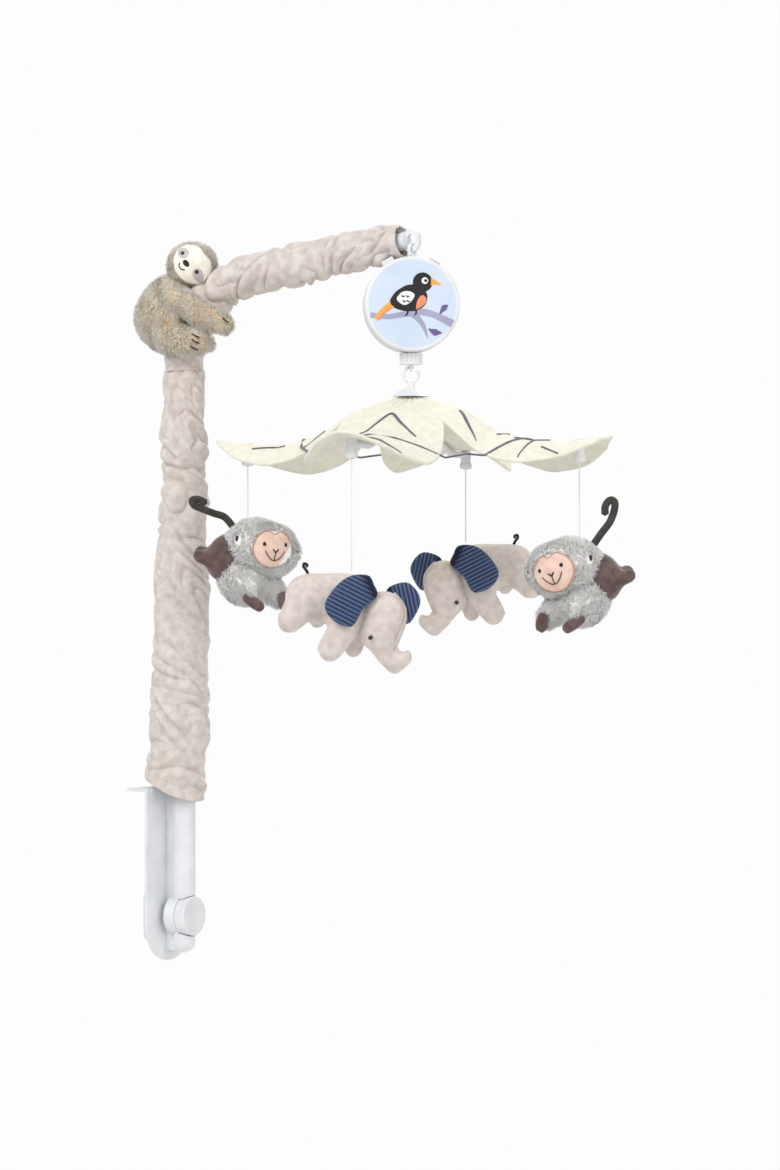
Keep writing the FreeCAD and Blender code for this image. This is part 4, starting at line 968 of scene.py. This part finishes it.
for count, vein in enumerate(VEINS):
    stations = curve_through(np.array(vein) * [0.001, 1, 0.001], 48)
    centre = on_canopy(stations[:, 0], stations[:, 1], VEIN_LIFT)
    side = unit(np.cross(unit(np.gradient(centre, axis=0)), up))
    vein_turn = round_angles(12)[None, :, None]
    half = np.maximum(stations[:, 2], 0.0002)[:, None, None]
    rings = (centre[:, None] + half * np.cos(vein_turn) * side[:, None]
             + VEIN_HALF_HEIGHT * np.sin(vein_turn) * up)
    add("canopy_vein_" + str(count), "carousel", vein_thread,
        closed_tube(rings, centre[0], centre[-1]))


# ---------------------------------------------------------------------------------------------
# Elephants. Two stuffed dolls in smooth greige velour, mirror images of each other, sewn from side
# panels with a gusset over the forehead; the ears are folded navy corduroy, the tail a black cord.

TOY_TURN = math.radians(32.4)
ELEPHANT_BODY = ((-40, 0, -21, -8, 0, -23.5, 20.6, 23.4), (-8, 0, -23.5, 6, -2, -34, 23.4, 17.5),
                 (-44, -10, -26, -55.5, -13, -41, 15.8, 11.6), (-36, 12, -32, -33, 13, -43, 9.5, 6.6),
                 (-6, -11, -42, -21, -13, -65, 13.6, 11.8), (2, 10, -44, -2, 12, -64.5, 10.6, 9.2))
ELEPHANT_HEAD = ((24, -9, -36, 20, -10, -50, 20.7, 18.4), (20, -11, -52, 26, -12, -69, 17.3, 10.4),
                 (26, -12, -69, 33, -13, -80, 10.4, 7.4), (33, -13, -80, 42, -13, -74.5, 7.4, 6.4),
                 (42, -13, -74.5, 44, -13, -71, 6.4, 6.2))
NEAR_EAR = ((-2, -2.8), (11.1, -3.1), (15.8, -10.8), (18.4, -20.3), (6.8, -31.2), (-1.3, -44.6),
            (-9.3, -45.4), (-19.5, -40), (-25.3, -31.2), (-23.8, -22.5), (-13.6, -9.4))
FAR_EAR = ((26, -16), (33, -10.5), (44, -9), (52, -16), (55, -25), (51, -36), (44, -44), (33, -40), (26, -28))
CORD_PITCH = 0.0034
WALE_HEIGHT = 0.0011
EAR_HEM = 0.0016
TOYS = {"left": (-0.001, 0.0018, False), "near": (0.0035, 0.0032, False), "far": (-0.004, -0.0032, True),
        "right": (-0.001, -0.0018, True)}


def hung(shape, hook):
    """A toy's shape carried from under its string at the origin, facing +x, to its place on the
    mobile: mirrored for the far elephant and the right monkey, shifted to where it hangs, then
    turned to its heading."""
    points, faces = shape
    shift_x, shift_y, mirrored = TOYS[hook]
    points = points * [1, -1 if mirrored else 1, 1] + [shift_x, shift_y, 0]
    turn = TOY_TURN + (math.pi if mirrored else 0)
    low, high = (np.array(corner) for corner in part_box(hook + "_string"))
    knot = (low + high) / 2
    x = points[:, 0] * math.cos(turn) - points[:, 1] * math.sin(turn) + knot[0]
    y = points[:, 0] * math.sin(turn) + points[:, 1] * math.cos(turn) + knot[1]
    if mirrored:
        faces = [face[::-1] for face in faces]
    return np.stack([x, y, points[:, 2] + low[2] - 0.0004], -1), faces


def ear(corners, depth, dish, lean, ribs_turn, fold):
    """Points and faces of a corduroy ear seen from -y, and a painted shade for each point: dark in the
    valleys between the ribs and light on their tops, darker still along the fold crease on the front, with
    the same stripes of painted shade on the back skin, which has no ribs. Every ring is its outline drawn in
    towards the middle; both skins bow out a little, the front carries half-round ribs across ribs_turn, and
    the fold is a crease where the ear is pinched."""
    outline = closed_outline(np.array(corners) / 1000, 180)
    share = np.linspace(0.02, 1, 70)[:, None]
    middle = outline.mean(0)
    x = middle[0] + share * (outline[:, 0] - middle[0])
    z = middle[1] + share * (outline[:, 1] - middle[1])
    turn = math.radians(ribs_turn)
    across = (x - middle[0]) * -math.sin(turn) + (z - middle[1]) * math.cos(turn)
    # the rib profile across the wales: it shapes the ribs and also sets the painted shade, dark between the
    # ribs and light on their tops
    wale_and_shade = np.abs(np.cos(math.pi * across / CORD_PITCH))
    rib = WALE_HEIGHT * wale_and_shade * (1 - share ** 16)
    edge = EAR_HEM * (1 - share ** 10)
    fold_x, fold_z, fold_turn, fold_width, fold_depth = fold
    off = ((x - fold_x / 1000) * math.cos(math.radians(fold_turn))
           + (z - fold_z / 1000) * math.sin(math.radians(fold_turn)))
    crease = fold_depth / 1000 * np.exp(-(off / (fold_width / 1000)) ** 2)
    bow = depth / 1000 + lean * (x - middle[0]) + dish * share ** 2
    front = np.stack([x, bow - edge - rib + crease - 0.0006, z], -1)
    back = np.stack([x, bow + edge + crease + 0.0006, z], -1)
    poles = [[middle[0], depth / 1000 - 0.003, middle[1]], [middle[0], depth / 1000 + 0.003, middle[1]]]
    # painted shade along the fold crease on the front; the back skin takes the rib stripes of painted shade
    # though it has no ribs
    shaded = wale_and_shade * (1 - 0.8 * np.exp(-(off / 0.004) ** 2))
    shades = np.concatenate([shaded.ravel(), wale_and_shade[::-1].ravel(), [0.5, 0.5]])
    return closed_tube(np.concatenate([front, back[::-1]]), *poles), shades


elephant_velour = velour("elephant_velour", paint(204, 192, 186), paint(220, 210, 204), 0.4)
corduroy = velour("corduroy", paint(46, 60, 92), paint(74, 92, 128), 0.3, 2600)
# the corduroy's colour is painted shade over the real ribs: dark in the valleys between them and along the
# ears' fold crease, light on the rib tops
painted_shade_attribute = corduroy.node_tree.nodes.new("ShaderNodeAttribute")
painted_shade_attribute.attribute_name = "wale_and_shade"
tint(corduroy, painted_shade_attribute.outputs["Fac"], paint(24, 32, 54), paint(80, 98, 134), 0.15, 0.85)
tail_cord = velour("tail_cord", paint(34, 32, 31), paint(50, 47, 45), 0.1, 3200)
seam_thread = velour("seam_thread", paint(186, 172, 166), paint(196, 183, 177), 0.1, 4000)
elephant_body = stuffed(rods(ELEPHANT_BODY, 0.2), 0.0036)
elephant_head = stuffed(rods(ELEPHANT_HEAD, 0.5), 0.0033, 0.0025)
near_ear, near_ear_shade = ear(NEAR_EAR, -30.5, 0.002, 0.10, -27, (13, -12, 25, 3.2, 2.6))
far_ear, far_ear_shade = ear(FAR_EAR, 3.5, 0.001, 0.28, -78, (28, -20, 0, 2.0, 1.0))
tail_places = np.array([(-39, 0, -5), (-41.5, 0, 1), (-44, 0, 4.5), (-43.6, 0, 7), (-41.4, 0, 6.4),
                        (-41.2, 0, 4.4)]) / 1000
elephant_tail = thread(curve_through(tail_places, 40), 0.0013)
# the gusset seam runs from between the ears over the brow to the trunk, on the head's far side
seam_places = np.array([(33, -20, -17.5), (40.5, -19, -27), (42.6, -20, -40), (38.2, -21, -54),
                        (33, -20, -66)]) / 1000
seam_line = curve_through(seam_places, 60)

for hook in ("near", "far"):
    toy = hook + "_elephant"
    for part, shape, fill in (("body", elephant_body, 0.85), ("head", elephant_head, 0.9)):
        cushioned(toy + "_stuffed_" + part, toy, toy + "_" + part, elephant_velour,
                  hung(shape, hook))
    ears = add(toy + "_corduroy_ears", toy, corduroy,
               hung(together([near_ear, far_ear]), hook))
    # the ears carry their painted rib and crease shade as a point attribute
    mark(ears, "wale_and_shade", np.concatenate([near_ear_shade, far_ear_shade]))
    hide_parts(toy + "_ears")
    add(toy + "_gusset_seam", toy, seam_thread, hung(thread(seam_line, 0.0007), hook))
    add(toy + "_tail_cord", toy, tail_cord, hung(elephant_tail, hook))
    eye_place = np.array([0.0127, -0.0262, -0.0552])
    eye = rod(eye_place - [0.0002, 0, 0.0001], eye_place + [0.0002, 0, 0.0001], 0.0018, 0.0018)
    add(toy + "_eye", toy, bead_black, hung(eye, hook))


# ---------------------------------------------------------------------------------------------
# Monkeys. Two stuffed dolls in white long-pile plush with a brown velour rump, feet and hands, a
# flat dark felt tail, dark ear linings and a peach face appliqué edged with satin stitch.

MONKEY_HEAD = ((8, -4, -25.5, 22, -6, -29, 24, 23.2), (-10, -9, -19, -9, -9, -19, 8.4, 8.4),
               (43.4, -6, -31, 44, -6, -31, 5.6, 5.6))
MONKEY_BODY = ((-1, 2, -54, -0.5, 2, -54, 23.4, 23.4), (16, 4, -56, 28, 4, -71, 11.4, 9.8),
               (4, -16, -60, 6, -20, -70, 9, 7.5))
MONKEY_REAR = ((-15, 2, -34, -19, 2, -40, 21.6, 18.8), (-30, -5, -38, -43, -7, -34, 8.2, 7.2),
               (-28, 9, -36, -42, 9, -30, 8.2, 7.2))
MONKEY_HANDS = ((2, -24, -72, 12, -23, -79, 6.3, 6.3), (32, -3, -71, 34, -4, -78, 7.2, 6.7))
TAILS = {"left": ((-12, 2, -8), (-20, 3, 1), (-30, 3, 4.5), (-39, 3, 8), (-47, 3, 11.5), (-49, 3, 16),
                  (-44, 3, 17), (-37, 3, 14)),
         "right": ((-10, 2, -9), (-18, 3, 2.5), (-25.5, 3, 12.5), (-29.5, 3, 22.5), (-30, 3, 30),
                   (-26, 3, 32), (-22, 3, 27), (-21.5, 3, 20))}
FACES = {"left": (26, -2), "right": (24, -15)}
FACE_MIDDLES = {"left": (0.0150, -0.006, -0.0252), "right": (0.0165, -0.006, -0.0285)}
FACE_BALL = 0.0262
MONKEY_TUFT_LENGTH = 0.0048
MONKEY_TUFT_WIDTH = 0.00055
FACE_STITCH = 0.00042

white_plush = plush("white_plush", paint(252, 250, 247), paint(255, 255, 254), 0.04)
white_backing = velour("white_backing", paint(246, 244, 240), paint(252, 250, 247), 0.2)
brown_velour = velour("brown_velour", paint(88, 70, 68), paint(110, 90, 88), 0.45)
peach_velour = velour("peach_velour", paint(226, 192, 176), paint(238, 207, 193), 0.35)
satin_thread = velour("satin_thread", paint(176, 134, 120), paint(190, 148, 134), 0.2, 5000)
lining_felt = velour("lining_felt", paint(58, 40, 66), paint(78, 56, 88), 0.2)
tail_felt = velour("tail_felt", paint(56, 55, 52), paint(74, 72, 68), 0.15, 1400)
monkey_head = stuffed(rods(MONKEY_HEAD), 0.004, 0.002)
monkey_body = stuffed(rods(MONKEY_BODY), 0.004, 0.002)
monkey_rear = stuffed(rods(MONKEY_REAR, 0.6), 0.0036, 0.0016)
monkey_hands = stuffed(rods(MONKEY_HANDS, 0.4), 0.0028, 0.001)


def heart(angle):
    """Outline of the face appliqué: an oval narrowed at the chin, with a soft notch on top."""
    high = np.sin(angle)
    u = 0.0182 * np.cos(angle) * (1 - 0.1 * np.minimum(high, 0) ** 2)
    v = -0.0022 + np.where(high > 0, 0.0165, 0.0170) * high
    return u, v - 0.0042 * np.exp(-(u / 0.0042) ** 2) * (high > 0)


for hook in ("left", "right"):
    toy = hook + "_monkey"
    face = facing(*FACES[hook])
    middle = np.array(FACE_MIDDLES[hook])

    def face_place(u, v, lift=0.0):
        """Places on the monkey's face."""
        return on_ball(face, middle, FACE_BALL, u, v, lift + 0.0 * u)

    def bald(place):
        """Where the face appliqué and the ear linings lie, so no pile grows there."""
        local = (place - middle) @ face.T
        face_share = (local[:, 0] / 0.0172) ** 2 + ((local[:, 1] + 0.002) / 0.0158) ** 2
        on_face = (local[:, 2] > 0) & (face_share < 1)
        near_ear = ((place[:, 0] + 0.0067) / 0.0036) ** 2 + ((place[:, 2] + 0.0195) / 0.0047) ** 2 < 1
        far_ear = ((place[:, 0] - 0.0452) / 0.0026) ** 2 + ((place[:, 2] + 0.0306) / 0.0032) ** 2 < 1
        return on_face | ((near_ear | far_ear) & (place[:, 1] < -0.008))

    for part, shape, node, finish, slot, fill in (
            ("head", monkey_head, "head", white_backing, "monkey_white", 0.9),
            ("body", monkey_body, "body", white_backing, "monkey_white", 0.85),
            ("rump", monkey_rear, "limbs", brown_velour, "monkey_brown", 0.85),
            ("hands", monkey_hands, "limbs", brown_velour, "monkey_brown", 0.85)):
        cushioned(toy + "_stuffed_" + part, toy, toy + "_" + node, finish, hung(shape, hook))
    for part, shape, tufts, bare in (("head", monkey_head, 6500, bald), ("body", monkey_body, 6000, None)):
        points, faces, share, soft = pile(*shape, tufts, MONKEY_TUFT_LENGTH, MONKEY_TUFT_WIDTH,
                                          (-0.2, 0, -0.7), 77 + tufts, 0.9, bare)
        placed, turned = hung((points, faces), hook)
        fur = fleece(toy + "_pile_" + part, placed, turned, share,
                     hung((points + soft, faces), hook)[0] - placed, white_plush)
        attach(fur, toy)
    rim = np.linspace(0, 2 * math.pi, 140)
    rim_u, rim_v = heart(rim)
    add(toy + "_face", toy, peach_velour,
        hung(disc_patch(face_place, heart, sink=0.004, thickness=0.0012), hook))
    add(toy + "_face_stitch", toy, satin_thread,
        hung(thread(face_place(rim_u * 0.985, rim_v * 0.985, 0.0012), FACE_STITCH), hook))
    add(toy + "_eyes", toy, bead_black, hung(together([
        disc_patch(lambda u, v, lift: face_place(u, v, lift + 0.0015), oval(side, 0.0012, 0.0015, 0.0019),
                   rings=8, around=24, sink=0.001, thickness=0.0004, crown=0.001)
        for side in (-0.0096, 0.0096)]), hook))
    mouth = np.linspace(-1, 1, 30)
    grin = face_place(0.0086 * mouth, -0.0122 + 0.0078 * mouth ** 2, 0.0022)
    lip = face_place(np.zeros(8), np.linspace(-0.0055, -0.0116, 8), 0.0022)
    left_nose = face_place(np.linspace(-0.0024, 0, 6), np.linspace(-0.003, -0.0056, 6), 0.0023)
    right_nose = face_place(np.linspace(0.0024, 0, 6), np.linspace(-0.003, -0.0056, 6), 0.0023)
    add(toy + "_mouth", toy, dark_thread, hung(together([
        thread(grin, FACE_STITCH), thread(lip, 0.0004), thread(left_nose, 0.00062),
        thread(right_nose, 0.00062)]), hook))
    lining = [rod(np.array(low) / 1000, np.array(high) / 1000, size, size) for low, high, size in (
        ((-6.9, -18.2, -18.4), (-6.4, -18.4, -20.6), 0.0028),
        ((45, -11.8, -30), (45.3, -11.8, -31.2), 0.0018))]
    add(toy + "_ear_linings", toy, lining_felt, hung(together(lining), hook))
    tail_line = curve_through(np.array(TAILS[hook]) / 1000, 90)
    tail_cushion = add(toy + "_felt_tail", toy, tail_felt,
                       hung(thread(tail_line, 0.0033, 20), hook))
    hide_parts(toy + "_tail")
